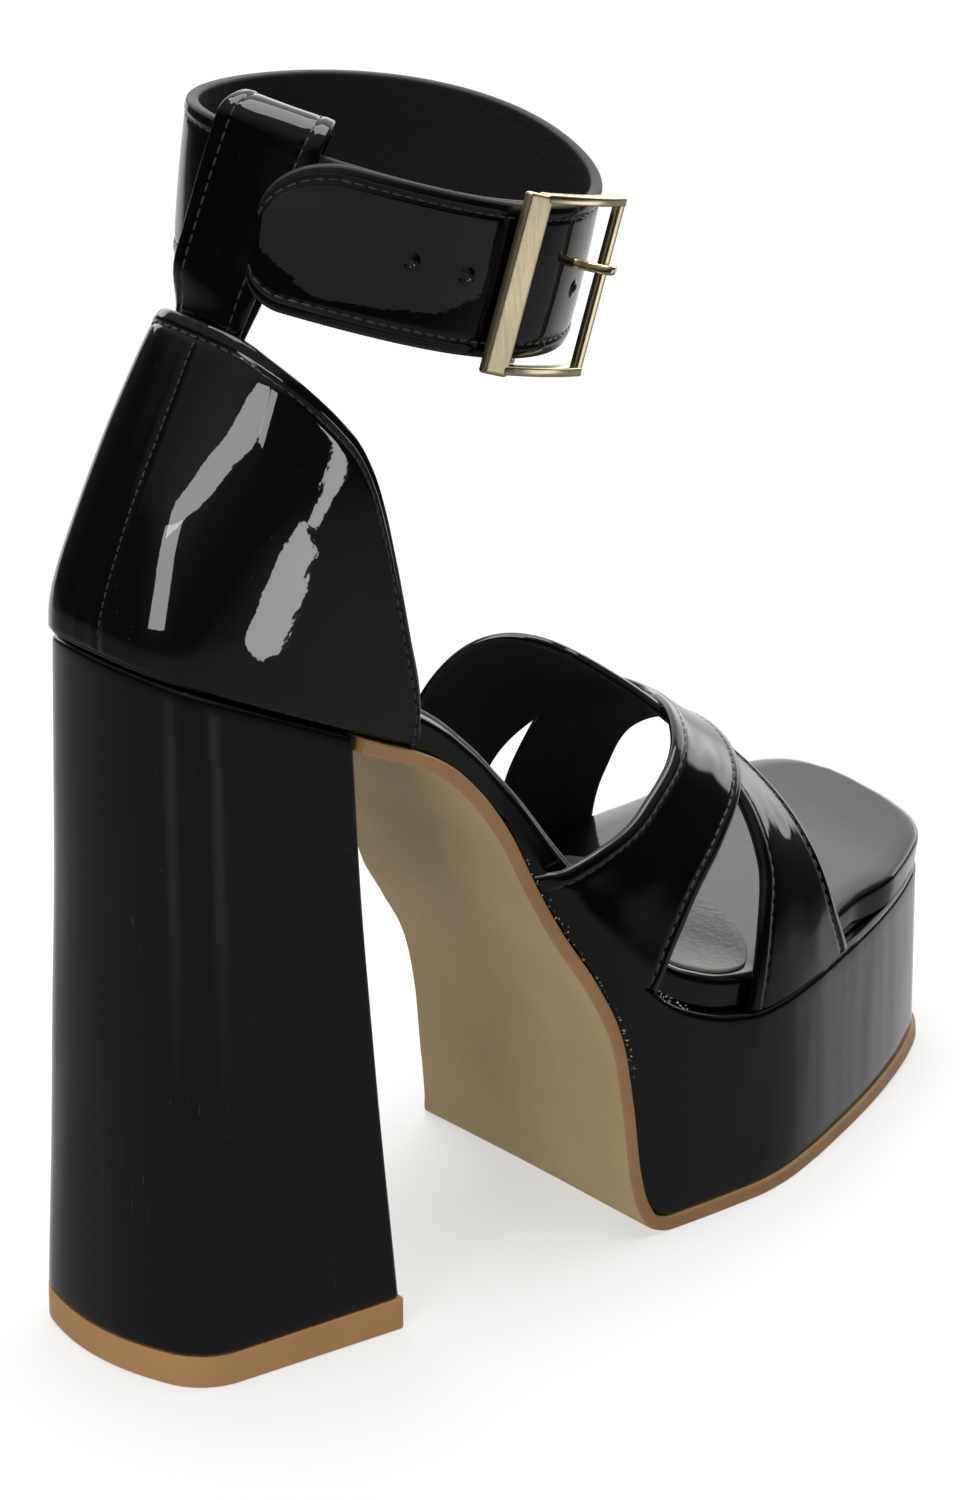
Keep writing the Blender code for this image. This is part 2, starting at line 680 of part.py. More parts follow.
def make_back_loop():
    """Strip sewn inside the counter that runs up behind the band, over its top and down inside it."""
    share = np.linspace(-1, 1, LOOP_COLUMNS)
    spread = share * LOOP_WIDTH / 2 / band_speed(LOOP_ANGLE)
    fold = BAND_WIDTH / 2 + LOOP_RISE - LOOP_OFFSET
    straight = (*LOOP_LEVELS, fold)
    turns = np.radians(FOLD_TURNS)
    path = [(level, LOOP_OFFSET) for level in straight]
    path += [(fold + LOOP_OFFSET * np.sin(turn), LOOP_OFFSET * np.cos(turn)) for turn in turns]
    path += [(level, -LOOP_OFFSET) for level in reversed(straight)]
    upper = np.array([band_point(LOOP_ANGLE + LOOP_SLANT * level + spread, level, offset)
                      for level, offset in path])
    heights = np.linspace(LOOP_FOOT, TOPLINE["height"][0], LOOP_FOOT_ROWS)
    turn, height = np.meshgrid(share * LOOP_FOOT_TURN, heights, indexing="ij")
    face = counter_surface(turn, height)
    depths = [COUNTER_WALL + LOOP_SEAM * end + LOOP_THICKNESS * (end - 0.5) for end in (1, 2)]
    layers = [thickened(face, -depth).transpose(1, 0, 2)[:, ::-1] for depth in depths]
    route = np.concatenate([layers[0], upper, layers[1][::-1]])
    middle = through(route, np.linspace(0, len(route) - 1, 2 * (len(route) - 1) + 1))
    half = LOOP_THICKNESS / 2
    add_piece("back_loop", shell_mesh(thickened(middle, half), thickened(middle, -half)),
              finish("loop_patent", BLACK, 0.1))


def through(rows, at):
    """Smooth curve through rows of points; whole numbers of at meet the rows."""
    last = len(rows) - 1
    i = np.minimum(at.astype(int), last - 1)
    f = (at - i)[:, None, None]
    before, here, after, later = (rows[np.clip(i + step, 0, last)] for step in (-1, 0, 1, 2))
    return 0.5 * (2 * here + (after - before) * f + (2 * before - 5 * here + 4 * after - later) * f ** 2
                  + (3 * here - before - 3 * after + later) * f ** 3)


def buckle_point(along, level, out):
    """Place in the buckle's flat frame: along the band, up the band and outwards from it."""
    ways = band_axes(np.array(BUCKLE_ANGLE))
    steps = np.stack(np.broadcast_arrays(along, level, out), -1)
    return band_middle(np.radians(BUCKLE_ANGLE)) + steps @ np.array(ways)


def buckle_block(along, level, out):
    """Straight block in the buckle's frame, given by its two limits each way."""
    loops = [buckle_point(place, np.array([level[0], level[1], level[1], level[0]]),
                          np.array([out[0], out[0], out[1], out[1]])) for place in along]
    return loft_mesh(np.array(loops))


def make_buckle():
    """Frame with wide bar, thin bar, two rails and a centre bar on lugs under the lap."""
    gold = finish("buckle_gold", GOLD, 0.2, 1.0)
    front = BUCKLE_REAR + BUCKLE_LENGTH
    half = BUCKLE_HALF_HEIGHT
    plate = (BUCKLE_UNDERSIDE, BUCKLE_UNDERSIDE + BUCKLE_THICKNESS)
    trim = BUCKLE_TRIM
    middle, depth = CENTRE_BAR_PLACE
    bar = CENTRE_BAR / 2
    wide_bar = buckle_block((BUCKLE_REAR, BUCKLE_REAR + BUCKLE_WIDE_BAR), (-half, half), plate)
    frame = add_piece("buckle_frame", wide_bar, gold)
    parts = {
        "thin_bar": buckle_block((front - BUCKLE_THIN_BAR, front), (-half, half), plate),
        "centre_bar": buckle_block((middle - bar, middle + bar), (trim - half, half - trim),
                                   (depth - bar, depth + bar)),
    }
    for name, side in (("lower", -1), ("upper", 1)):
        low, high = sorted((side * (half - trim), side * (half - BUCKLE_RAIL)))
        parts[name + "_rail"] = buckle_block((BUCKLE_REAR + trim, front - trim), (low, high),
                                             (plate[0] + trim, plate[1] - trim))
        parts[name + "_lug"] = buckle_block((middle - bar + trim, middle + bar - trim),
                                            (low + trim, high - trim),
                                            (depth - bar + trim, plate[1] - 2 * trim))
    for name, body in parts.items():
        combine(frame, add_guide(name, body, gold), "UNION")


def make_prong():
    """Bent pin from the centre bar through the lap and over the thin bar."""
    along = PRONG_PATH["along"]
    out = PRONG_PATH["out"]
    way = np.gradient(np.stack([along, out], 1), axis=0)
    way /= np.linalg.norm(way, axis=1)[:, None]
    sides = np.array([-1, 1, 1, -1]) * PRONG_WIDTH / 2
    thick = np.array([-1, -1, 1, 1]) * PRONG_THICKNESS / 2
    loops = [buckle_point(place - rise * thick, PRONG_LEVEL + sides, height + run * thick)
             for place, height, (run, rise) in zip(along, out, way)]
    add_piece("buckle_prong", loft_mesh(np.array(loops)), finish("prong_gold", GOLD, 0.2, 1.0))


def main():
    """Empty the file and add every piece of the sandal."""
    for old in list(bpy.data.objects):
        bpy.data.objects.remove(old, do_unlink=True)
    make_insole()
    make_outsole()
    make_platform()
    make_heel()
    make_counter()
    make_vamp()
    make_ankle_strap()
    make_back_loop()
    make_buckle()
    make_prong()


main()
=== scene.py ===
"""Finished look of a platform sandal, laid out as an add-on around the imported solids.

Tables and sizes are in millimetres in the frame of the solids: +X to the toe, +Y to the medial side,
+Z up, with the origin in the middle of the heel lift's underside. Meshes are made in metres.
"""
import math

import bpy
import numpy as np
from bpy.props import FloatProperty, FloatVectorProperty, IntProperty, PointerProperty
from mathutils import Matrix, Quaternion, Vector


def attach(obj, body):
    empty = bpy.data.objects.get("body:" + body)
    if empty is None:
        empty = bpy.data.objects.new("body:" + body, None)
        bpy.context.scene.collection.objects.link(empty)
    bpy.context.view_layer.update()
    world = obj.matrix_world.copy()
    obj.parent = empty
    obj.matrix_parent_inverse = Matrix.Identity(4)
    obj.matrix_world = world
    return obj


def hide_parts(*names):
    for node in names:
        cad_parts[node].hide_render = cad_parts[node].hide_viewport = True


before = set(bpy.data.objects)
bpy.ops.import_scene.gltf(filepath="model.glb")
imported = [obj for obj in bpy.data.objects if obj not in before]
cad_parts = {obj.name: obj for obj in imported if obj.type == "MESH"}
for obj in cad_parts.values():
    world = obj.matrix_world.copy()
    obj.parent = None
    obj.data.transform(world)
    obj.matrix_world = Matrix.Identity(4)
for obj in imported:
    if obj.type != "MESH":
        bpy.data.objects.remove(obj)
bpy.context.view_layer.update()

bl_info = {
    "name": "Platform Sandal",
    "version": (1, 0, 0),
    "blender": (4, 5, 0),
    "location": "View3D > Sidebar > Sandal",
    "description": "Builds the finished surfaces of a platform sandal around its solids",
    "category": "Add Mesh",
}

MM = 0.001
GAP = 0.3  # clearance between two pieces that touch
PROBE = 0.05  # small step for slopes along the foot
ANGLE_PROBE = 0.0001  # small step for directions round the leg, in radians


def table(columns, rows):
    """A table with named columns: a dictionary of arrays, one entry for each column."""
    return dict(zip(columns.split(), np.array(rows, float).T))


# Sole, seen from above: the outer edge on the lateral and on the medial side
OUTLINE = table("x lateral medial", [
    (-28.6, -4.5, 4.5), (-28, -9.5, 9.5), (-26.6, -14, 14), (-24, -17.8, 17.8), (-20, -20.7, 20.7),
    (-12, -23, 23), (5, -25, 25), (20, -25.5, 25), (35, -25, 23.5), (50, -25.2, 23.5), (60, -27, 26),
    (70, -30.5, 30.5), (80, -33, 34.6), (91, -34, 38), (105, -34.8, 43.2), (115, -35, 46),
    (122, -34.2, 47.5), (135, -30.5, 49.4), (147, -26, 50), (155, -22.8, 49.6), (165, -18.5, 48.6),
    (175, -13.6, 47), (183, -9, 45.4), (188.5, -5, 43.6), (192.5, 0.5, 40.8), (195.5, 10.5, 36),
    (197, 23, 29),
])
HEEL_END = OUTLINE["x"][0]
TOE_END = OUTLINE["x"][-1]

# Footbed: the heel seat is a slope, and rows give the arch and the flat forepart
SEAT_X = 16.0
SEAT_HEIGHT = 135.8
SEAT_SLOPE = 0.4955
SEAT_ANGLE = math.atan(SEAT_SLOPE)
SEAT_THICKNESS = 7.0
FOOTBED = table("x top", [
    (-40.0, SEAT_HEIGHT + (SEAT_X + 40.0) * SEAT_SLOPE), (0.0, SEAT_HEIGHT + SEAT_X * SEAT_SLOPE),
    (SEAT_X, SEAT_HEIGHT), (35, 125.6), (48.9, 114.3), (55.3, 107.2), (62.9, 97.3), (69.4, 87), (80, 72),
    (90, 61), (100, 53.5), (110, 49.5), (120, 48), (170, 48), (210, 49.6),
])
INSOLE = table("x thickness inset", [
    (-40, 7, 1.6), (28, 7, 1.6), (46, 5.2, 2), (60, 5.2, 2.6), (76, 5.2, 2.7), (100, 6.8, 2.7),
    (157, 7, 2.7), (172, 7, 0.3), (210, 7, 0.3),
])
TOE_START = 152.0
TOE_START_LENGTH = 14.0
TOE_OVERHANG = 1.2  # how far the insole's upper edge stands out over the lower one at the toe
SOCK_MARGIN = 2.4  # from the insole's edge to the sock pad's
SOCK_ROUND = 26.0  # length of the pad's rounded front end
SOCK_ROUND_POWER = 2.4
SOCK_TIP = 0.0004  # least share of the width, squared, at the very front
SOCK_LIFT = 0.02
SOCK_ROWS = 120
PROFILE_MARGIN = 8.0  # how far sampled profiles run past heel and toe
PROFILE_SAMPLES = 900

# Outsole and platform
SHEET = 2.8
SHEET_PROUD = 0.8
OUTSOLE = table("x low medial_shift", [
    (10, 140, 0), (28.4, 119, 0), (38.7, 112.3, 0), (46.4, 104.5, 0), (53.3, 94.5, 0), (59, 82, 0),
    (65, 69.5, 0), (72, 57, 1.6), (77, 45, 4.2), (79.6, 30, 5.6), (81.4, 15, 5.8), (83.6, 6.6, 5),
    (87, 1.6, 2.6), (92, 0, 0), (152, 0, 0), (175, 0.5, 0), (200, 2, 0),
])
PLATFORM = table("footbed outsole", [
    (56, 54), (62, 60), (68, 65.5), (77, 73.5), (86, 78.4), (95, 81.2), (103, 84.6), (109, 90.5),
    (118, 104), (130, 123), (142, 140), (TOE_END, TOE_END),
])

# Heel block and lift
HEEL = table("height front back half_front half_rear", [
    (0, 23.4, -28.1, 30.2, 24.9), (0.35, 20.6, -27.2, 28, 23.6), (0.7, 18.2, -26.7, 26.2, 22.2),
    (1, 17, -26.7, 25, 21.3),
])
HEEL_SIZES = ("front", "back", "half_front", "half_rear")
HEEL_CORNER = 13.0
HEEL_EDGE = 1.3  # rounding between breast and sides
HEEL_BULGE = 2.0
HEEL_REAR_TURN = 20.0
HEEL_LOW_EDGE = 0.004  # rounding of the foot, as a share of the height
HEEL_TOP_EDGE = 0.012
HEEL_EDGE_SCALE = 110.0  # millimetres that a share of the height stands for in that rounding
HEEL_STEPS = 70
HEEL_PLAN_STEPS = (10, 6, 24, 18, 10)  # steps of breast, edge, side, rear corner and rear
HEEL_WAVE = 0.16  # soft waves of the stretched wrap, longer upwards than across
HEEL_WAVE_LENGTH = 15.0
HEEL_WAVE_STRETCH = np.array([1.0, 1.0, 0.35])
HEEL_WAVE_SEED = 3
RIPPLE_WAVES = 6
RIPPLE_LENGTHS = (0.7, 1.4)  # shortest and longest wave, as shares of the length asked for
LIFT_HEIGHT = 6.8
LIFT_PROUD = 0.9
LIFT_EDGES = (0.5, 0.4)  # rounding of its lower and upper edge
LIFT_STEPS = 8

# Counter
COUNTER_WALL = 2.0
COUNTER_PROUD = 0.8
COUNTER_LEAN = -1.5
COUNTER_FRONT = 32.0
COUNTER_SEAM = -0.03  # turn of the back seam
SEAM_REACH = 0.06  # turns beside it with closer rows
SEAM_ROWS = 41
COUNTER_TUCK = 1.0  # how far the foot is drawn in over the heel
TUCK_HEIGHT = 7.0
COUNTER_FOLDS = table("side level lift wide tall", [
    (-6, 27, 1.2, 7, 13), (-8, 58, -0.5, 8, 10), (-34, 34, 0.4, 12, 12), (4, 0, -0.7, 60, 6),
])
TOPLINE = table("x height", [
    (-30, 66.5), (-27.5, 65.9), (-23.6, 64.2), (-16, 61.2), (-8, 57.5), (-2.9, 54.5), (2, 49.8),
    (7, 43.2), (12.3, 35.2), (21, 21.8), (28, 11.5), (32, 2.5),
])
COUNTER_SHAPE = table("height back width", [
    (0, 0, 1), (18, -1.6, 0.99), (41, -2.3, 0.95), (57, -2.2, 0.88), (67, -1.4, 0.82),
])

# Vamp: sections from the lateral foot (0) over the ridge (0.5) to the medial foot (1)
STRAP_WALL = 2.0
STRAP_INSET = 0.1
RIDGE_SIDE = 8.0
SECTION_POWER = 2.2
RIDGE = table("x height", [
    (55, 128), (80, 121.4), (90, 117.4), (100, 112), (110, 104.5), (127, 91), (145, 78), (158, 67),
])
STRAP_OVER = table("across rear front", [
    (0, 64.4, 88), (0.1, 75.9, 99.4), (0.19, 90.4, 112.2), (0.27, 102.2, 121.8), (0.36, 111, 129.6),
    (0.44, 117, 134.5), (0.5, 120.6, 137.2), (0.75, 120.4, 145), (0.86, 117.5, 146.4), (1, 113, 146),
])
STRAP_UNDER = table("across rear front", [
    (0, 113, 150), (0.08, 117, 146), (0.17, 121.6, 143.8), (0.25, 122.6, 141.7), (0.33, 120.6, 138.6),
    (0.42, 113.7, 135), (0.5, 103, 131), (0.6, 93.2, 126), (0.745, 84, 119), (0.86, 78.8, 109),
    (1, 75, 100),
])
CROSSING_LIFT = 1.6
CROSSING = table("across lift", [
    (0, 0), (0.18, 0), (0.31, CROSSING_LIFT), (0.7, CROSSING_LIFT), (0.84, 0), (1, 0),
])
FOOT_PROUD = 0.9  # how far the over strap's lateral foot stands out over the platform
FOOT_SPREAD = 4.4  # how far its rear edge runs back on the way down
FOOT_ROWS = 8
FOOT_FADE = 0.96  # share by which it is shorter at its front edge
FOOT_FADE_START = 0.45  # where across the strap that begins
FOOT_FADE_LENGTH = 0.5
FOOT_PROUD_LENGTH = 0.03
OVER_FOLDS = table("across place lift long wide", [
    (0.32, 4.5, 0.1, 6, 2), (0.31, 9, -0.09, 5, 2.2), (0.3, 13.5, 0.11, 6, 2),
    (0.29, 18.5, -0.08, 5, 2.4), (0.05, 8, -0.25, 8, 6), (0.1, 13, 0.25, 9, 6),
])
UNDER_FOLDS = table("across place lift long wide", [
    (0.26, 6, 0.1, 5, 2), (0.25, 10.5, -0.11, 5, 2.2), (0.24, 15, 0.12, 5, 2), (0.05, 12, -0.1, 8, 4),
    (0.05, 22, 0.12, 9, 4),
])

# Ankle band
BAND_CENTRE = (49.35, 3.6)
BAND_HEIGHT = 218.5
BAND_HALF_LENGTH = 40.8
BAND_HALF_WIDTH = 32.2
BAND_TURN = math.radians(1.9)
BAND_FRONT_DROP = 10.0
BAND_MEDIAL_RISE = 4.5
BAND_SADDLE = 1.2
BAND_TWIST = 1.4
BAND_LEAN = 0.27
BAND_LEAN_LATERAL = 0.16
BAND_SPREAD = 0.06
BAND_WIDTH = 30.0
BAND_THICKNESS = 2.4
BAND_CORNER = 0.7
STRAP_START = 281.3
STRAP_TIP = -160.5
TIP_TOP_RADIUS = 12.5
TIP_LOW_RADIUS = 6.0
BAND_CROWN = 0.4  # how far the band's middle stands out beyond its edges
TIP_SPRING = 2.2  # how far the tip springs away from the leg
TIP_SPRING_LENGTH = 24.0
LAP = table("angle offset", [
    (-170, 4.9), (-146, 4.9), (-112, 2.8), (-76, 2.8), (-5, 0), (400, 0),
])
HOLES = table("angle level", [
    (-120.5, 0.5), (-104.5, 0), (-61, -2.5),
])

# Back loop
LOOP_ANGLE = 189.5
LOOP_SLANT = 0.33
LOOP_WIDTH = 19.0
LOOP_THICKNESS = 1.5
LOOP_CORNER = 0.6
LOOP_EDGE = 0.5  # room for its rounded edges
LOOP_GROOVE = 0.7  # share of the usual seam's depth
LOOP_CLEARANCE = 0.4
LOOP_SEAM = 0.6
LOOP_OFFSET = BAND_THICKNESS / 2 + LOOP_CLEARANCE + LOOP_THICKNESS / 2
LOOP_LEVELS = (-14.0, -6.0, 4.0)
LOOP_RISE = 6.0
FOLD_TURNS = (0.0, 30.0, 60.0, 90.0, 120.0, 150.0, 180.0)
FOLD_RADIUS = 4.0  # the fold springs open inwards to this radius
FOLD_RISE = (9.0, 13.5)  # levels on the way up to the fold
FOLD_RETURN = ((14.0, -5.1), (10.0, -3.4))  # levels and offsets on the way back to the band
LOOP_FLAT = 1.1  # how far the front's edges stand off the round of the band
LOOP_FOOT_TURN = 0.165
LOOP_FOOT_SHIFT = 0.025  # how far the foot is turned to the medial side
LOOP_FOOT = 48.0
LOOP_FOOT_ROWS = 4

# Buckle
BUCKLE_ANGLE = 274.0
BUCKLE_REAR = -7.2
BUCKLE_LENGTH = 28.2
BUCKLE_HALF_HEIGHT = 17.6
BUCKLE_WIDE_BAR = 6.6
BUCKLE_THIN_BAR = 2.4
BUCKLE_RAIL = 1.9
BUCKLE_THICKNESS = 1.9
BUCKLE_UNDERSIDE = 4.4
BUCKLE_BOW = 1.2  # how far the rails stand out between the two bars
BUCKLE_RAIL_DEPTH = 3.2  # rails run deeper towards the leg than the bars
BAR_STEPS = 60
BLUNT_SHARE = 0.6  # rounding of a bar's ends, as a share of its smaller half width
BLUNT_TIP = 0.02
RAIL_START = 0.8  # share of the wide bar's width at which the rails start
RAIL_END = 0.2
CENTRE_BAR_INSET = 1.0
CENTRE_BAR_STEPS = 40
WIDE_BAR_POWER = 9.0  # how square the sections are: 2 is round, 9 nearly a rectangle
THIN_BAR_POWER = 3.0
RAIL_POWER = 5.0
PRONG_POWER = 2.6
ROUND_POWER = 2.0
CENTRE_BAR = 1.8
CENTRE_BAR_PLACE = (7.1, -0.3)
PRONG_WIDTH = 1.9
PRONG_THICKNESS = 1.3
PRONG_LEVEL = 3.5
PRONG_PATH = table("along out", [
    (8.7, -0.9), (11.5, -1), (14, -0.6), (16.2, 1.2), (17.6, 4.4), (18.6, 6.6), (19.9, 7.4), (21.8, 6.6),
])

# Finer build: places across a strip beside its edges, and how many steps shapes take
EDGE_PLACES = np.array([0.0, 0.45, 0.9, 1.3, 1.7, 2.0, 2.3, 2.6, 3.0, 3.5, 4.3])
STRIP_MIDDLE = 14
QUARTER = np.linspace(0, math.pi / 2, 5)  # turns along a rounded corner
SIDE_STEPS = 14
CORNER_SHARE = 0.45  # most of a plate's depth that one rounded corner takes
SOLE_COLUMNS = 9
FOOTBED_COLUMNS = 13
SOLE_SAMPLES = 6000
OUTSOLE_ROWS = 260
PLATFORM_ROWS = 160
INSOLE_ROWS = 220
COUNTER_ROWS = 241
STRAP_ROWS = 260
BAND_ROWS = 380
TIP_ROWS = 40
LOOP_ROWS = 200
EDGE_ROOM = 2.6  # a strip narrower than this many edge zones gets narrower zones

# Seams: a groove, a roll between it and the edge, and threads that lie a little sunk
GROOVE_WIDTH = 0.45
ROLL_WIDTH = 0.8
ROLL_SHARE = 0.7
PUCKER = 0.25  # how much shallower the groove is between two stitches
THREAD_SINK = 0.6  # share of the groove's depth
BACK_SEAM_DEPTH = 0.16
BACK_SEAM_WIDTH = 0.7
BACK_ROLL_SHARE = 0.6  # rolls on both sides of the counter's back seam
BACK_ROLL_PLACE = 1.8
BACK_ROLL_WIDTH = 1.0
BACK_STITCH_SINK = 0.12
BACK_STITCH_SCALE = 0.7
BACK_STITCH_ROWS = slice(6, -8)

# Stitches and specks of glue are small bars of a few rings and sides
LUMP_RINGS = 6
LUMP_SIDES = 6
LUMP_TURN = 0.46 * math.pi  # how far a bar's rounding goes towards each end
GLUE_SEED = 11
GLUE_LIP = (82.0, 96.0, 0.2)  # stretch along the foot and how far the specks stand out
GLUE_EDGE = (58.0, 82.0, FOOT_PROUD)
GLUE_SPREAD = np.array([0.3, 0.1, 0.45])
GLUE_SIZE = (0.06, 0.18)
GLUE_SHAPE = (1.4, 1.0, 0.8)  # length, width and height for a size of one

# Camera of the picture: place, aim and lens
EYE = (-981.53, -1172.42, 801.45)
AIM = (57.645, -18.293, 110.0)
LENS = 210.12
SENSOR = 36.0

# Lights: name, place, target, width and height in millimetres, power in watts, roll in degrees, and the
# pieces that alone are lit by it, or all if none are named
CENTRE = (60.0, 0.0, 110.0)
ON_STRAP = ("ankle_band", "strap_hole_1", "strap_hole_2", "strap_hole_3")
ON_BUCKLE = ("buckle_wide_bar", "buckle_bars", "buckle_pin")
ON_COUNTER = ("counter",)
ON_HEEL = ("heel_block",)
LIGHTS = (
    ("overhead", (150.0, 100.0, 1500.0), CENTRE, 1300.0, 1300.0, 27.0, 0.0, ()),
    ("rear_fill", (-930.0, -420.0, 420.0), CENTRE, 320.0, 500.0, 3.4, 0.0, ()),
    ("buckle_card", (183.0, -140.0, 154.0), CENTRE, 70.0, 60.0, 0.016, 0.0, ON_BUCKLE),
    ("strap_card", (5.0, -156.0, 236.0), (41.0, -33.0, 233.0), 340.0, 54.0, 0.0195, -17.0, ON_STRAP),
    ("counter_upright", (-115.0, -43.0, 185.0), (-21.0, -14.0, 165.0), 43.0, 52.0, 0.046, 0.0, ON_COUNTER),
    ("counter_bar", (-68.0, -78.0, 220.0), (-8.0, -18.0, 190.0), 148.0, 25.0, 0.079, 3.0, ON_COUNTER),
    ("counter_hook", (-3.0, -119.0, 212.0), (3.0, -20.0, 197.0), 22.0, 22.0, 0.01, -30.0, ON_COUNTER),
    ("side_strip_low", (200.0, -453.0, 6.0), (-3.0, -24.0, 161.0), 58.0, 112.0, 0.14, -54.0, ON_COUNTER),
    ("side_strip_high", (280.0, -436.0, 103.0), (10.0, -24.0, 182.0), 26.0, 135.0, 0.075, -28.0, ON_COUNTER),
    ("heel_left", (-281.0, -113.0, 8.0), (-23.0, -19.0, 125.0), 90.0, 60.0, 0.007, 0.0, ON_HEEL),
    ("heel_right", (30.0, -294.0, 12.0), (-18.0, -22.0, 125.0), 90.0, 60.0, 0.007, 0.0, ON_HEEL),
)
UNSEEN_LIGHTS = ("rear_fill",)  # lights that show in no reflection
FLOOR_GLOW = 0.62  # painted glow of the floor, which is no lamp, keeping its shadows pale, as a share of a white floor's brightness
FLOOR_RETURN = 0.43  # share of the light from above that the floor gives back
FLOOR_REACH = 6.0  # half the floor's side, in metres
BACKDROP_TURN = math.radians(42.0)

# World: ramps from one height to another, with the value at each; a height is the sine of the elevation
RAMP_INPUTS = ("From Min", "From Max", "To Min", "To Max")
WORLD_RAMPS = {
    "inner": (-0.3, -0.22, 0.42, 0.78),
    "outer": (-0.3, -0.22, 0.78, 0.85),
    "wider": (0.0, 0.06, 0.0, 0.2),
    "near_floor": (-0.56, -0.46, -0.7, 0.0),
    "table_top": (-0.12, 0.06, 0.8, 2.5),
    "fade": (0.2, 0.5, 0.0, 1.2),
    "floor": (-0.36, -0.17, 0.23, 0.02),
    "room": (0.2, 0.5, 0.0, 0.25),
}


def linear(code):
    """A hex sRGB colour as linear red, green and blue."""
    parts = np.array([int(code[i:i + 2], 16) for i in (1, 3, 5)]) / 255
    return tuple(np.where(parts <= 0.04045, parts / 12.92, ((parts + 0.055) / 1.055) ** 2.4).tolist())


def colour_property(name, description, code):
    """A colour that a user can change, with its default given as a hex code."""
    return FloatVectorProperty(name=name, description=description, subtype="COLOR", size=3, min=0, max=1,
                               default=linear(code))


def length_property(name, description, default, least=0.0):
    """A length in metres that a user can change."""
    return FloatProperty(name=name, description=description, default=default, min=least, unit="LENGTH")


class SandalColours(bpy.types.PropertyGroup):
    """Colours of the sandal's materials and of the floor."""
    patent: colour_property("Patent", "Leather under the clear lacquer", "#030304")
    lining: colour_property("Lining", "Inside of straps and counter", "#1B1A1B")
    sock: colour_property("Sock", "Textured pad on the footbed", "#868581")
    edge: colour_property("Cut edge", "Inked edge of the ankle strap", "#23211E")
    sheet: colour_property("Outsole", "Underside of the outsole", "#B39D6D")
    welt: colour_property("Outsole edge", "Painted edge of the outsole", "#A37A4F")
    lift: colour_property("Heel lift", "Wear piece under the heel", "#B58A56")
    gold: colour_property("Gold", "Plating of the buckle", "#D9CCA7")
    thread: colour_property("Thread", "Sewing thread", "#2C2C2F")
    floor: colour_property("Floor", "Sheet that the sandal stands on", "#F4F4F3")


class SandalSizes(bpy.types.PropertyGroup):
    """Sizes of the finish, in metres."""
    stitch_pitch: length_property("Stitch pitch", "Distance from stitch to stitch", 0.0026, 0.001)
    stitch_length: length_property("Stitch length", "Thread that shows in one stitch", 0.0019, 0.0005)
    stitch_width: length_property("Thread width", "Thickness of the thread", 0.0005, 0.0002)
    stitch_inset: length_property("Stitch inset", "Distance of a seam from the strap's edge", 0.0024, 0.001)
    groove: length_property("Groove", "Depth that a seam pulls into the leather", 0.0003)
    sock_front: length_property("Sock front", "Where the sock pad ends towards the toe", 0.133)
    sock_thickness: length_property("Sock thickness", "Height of the sock pad", 0.0008, 0.0002)
    specks: IntProperty(name="Glue specks", description="Dried specks of glue along the sole",
                        default=120, min=0)


def sizes():
    """The scene's finish sizes."""
    return bpy.context.scene.sandal_sizes


def colours():
    """The scene's colours."""
    return bpy.context.scene.sandal_colours


def smooth(columns, name, at):
    """A column's value at a place in the first column: cubic pieces that never swing past the rows."""
    keys, values = next(iter(columns.values())), columns[name]
    widths = np.diff(keys)
    slopes = np.diff(values) / widths
    product = slopes[1:] * slopes[:-1]
    total = np.where(product > 0, slopes[1:] + slopes[:-1], 1.0)
    inner = np.where(product > 0, 2 * product / total, 0.0)
    tangents = np.concatenate([slopes[:1], inner, slopes[-1:]])
    at = np.clip(np.asarray(at, float), keys[0], keys[-1])
    i = np.clip(np.searchsorted(keys, at, side="right") - 1, 0, len(widths) - 1)
    f = (at - keys[i]) / widths[i]
    rise = values[i] * (1 + 2 * f) * (1 - f) ** 2 + values[i + 1] * f * f * (3 - 2 * f)
    return rise + widths[i] * (tangents[i] * f * (1 - f) ** 2 - tangents[i + 1] * f * f * (1 - f))


def unit(ways):
    """Directions scaled to length one."""
    return ways / np.maximum(np.linalg.norm(ways, axis=-1, keepdims=True), 1e-12)


def normals(grid):
    """Directions at right angles to a grid of points: rows crossed with columns."""
    return unit(np.cross(np.gradient(grid, axis=0), np.gradient(grid, axis=1)))


def run_length(path):
    """Distance along a path of points, from its start to each point."""
    steps = np.linalg.norm(np.diff(path, axis=0), axis=1)
    return np.concatenate([[0.0], np.cumsum(steps)])


def circle(count):
    """Even turns round a full circle."""
    return np.linspace(0, 2 * math.pi, count + 1)[:-1]


def along_path(at, place, points):
    """Points at distances along a path whose own points have the distances place."""
    return np.stack([np.interp(at, place, points[:, way]) for way in range(points.shape[1])], -1)


def bell(distance, width):
    """A smooth bump of height one that fades over a width."""
    return np.exp(-(distance / width) ** 2)


def ripple(points, length, seed):
    """Soft uneven waves between -1 and 1: the mean of sines in seeded directions, about a length apart."""
    draw = np.random.default_rng(seed)
    ways = unit(draw.normal(size=(RIPPLE_WAVES, 3))) * 2 * np.pi
    ways = ways / (length * draw.uniform(*RIPPLE_LENGTHS, size=(RIPPLE_WAVES, 1)))
    return np.sin(points @ ways.T + draw.uniform(0, 2 * np.pi, RIPPLE_WAVES)).mean(-1)


def footbed(x):
    """Height of the insole's upper face along the foot."""
    return smooth(FOOTBED, "top", x)


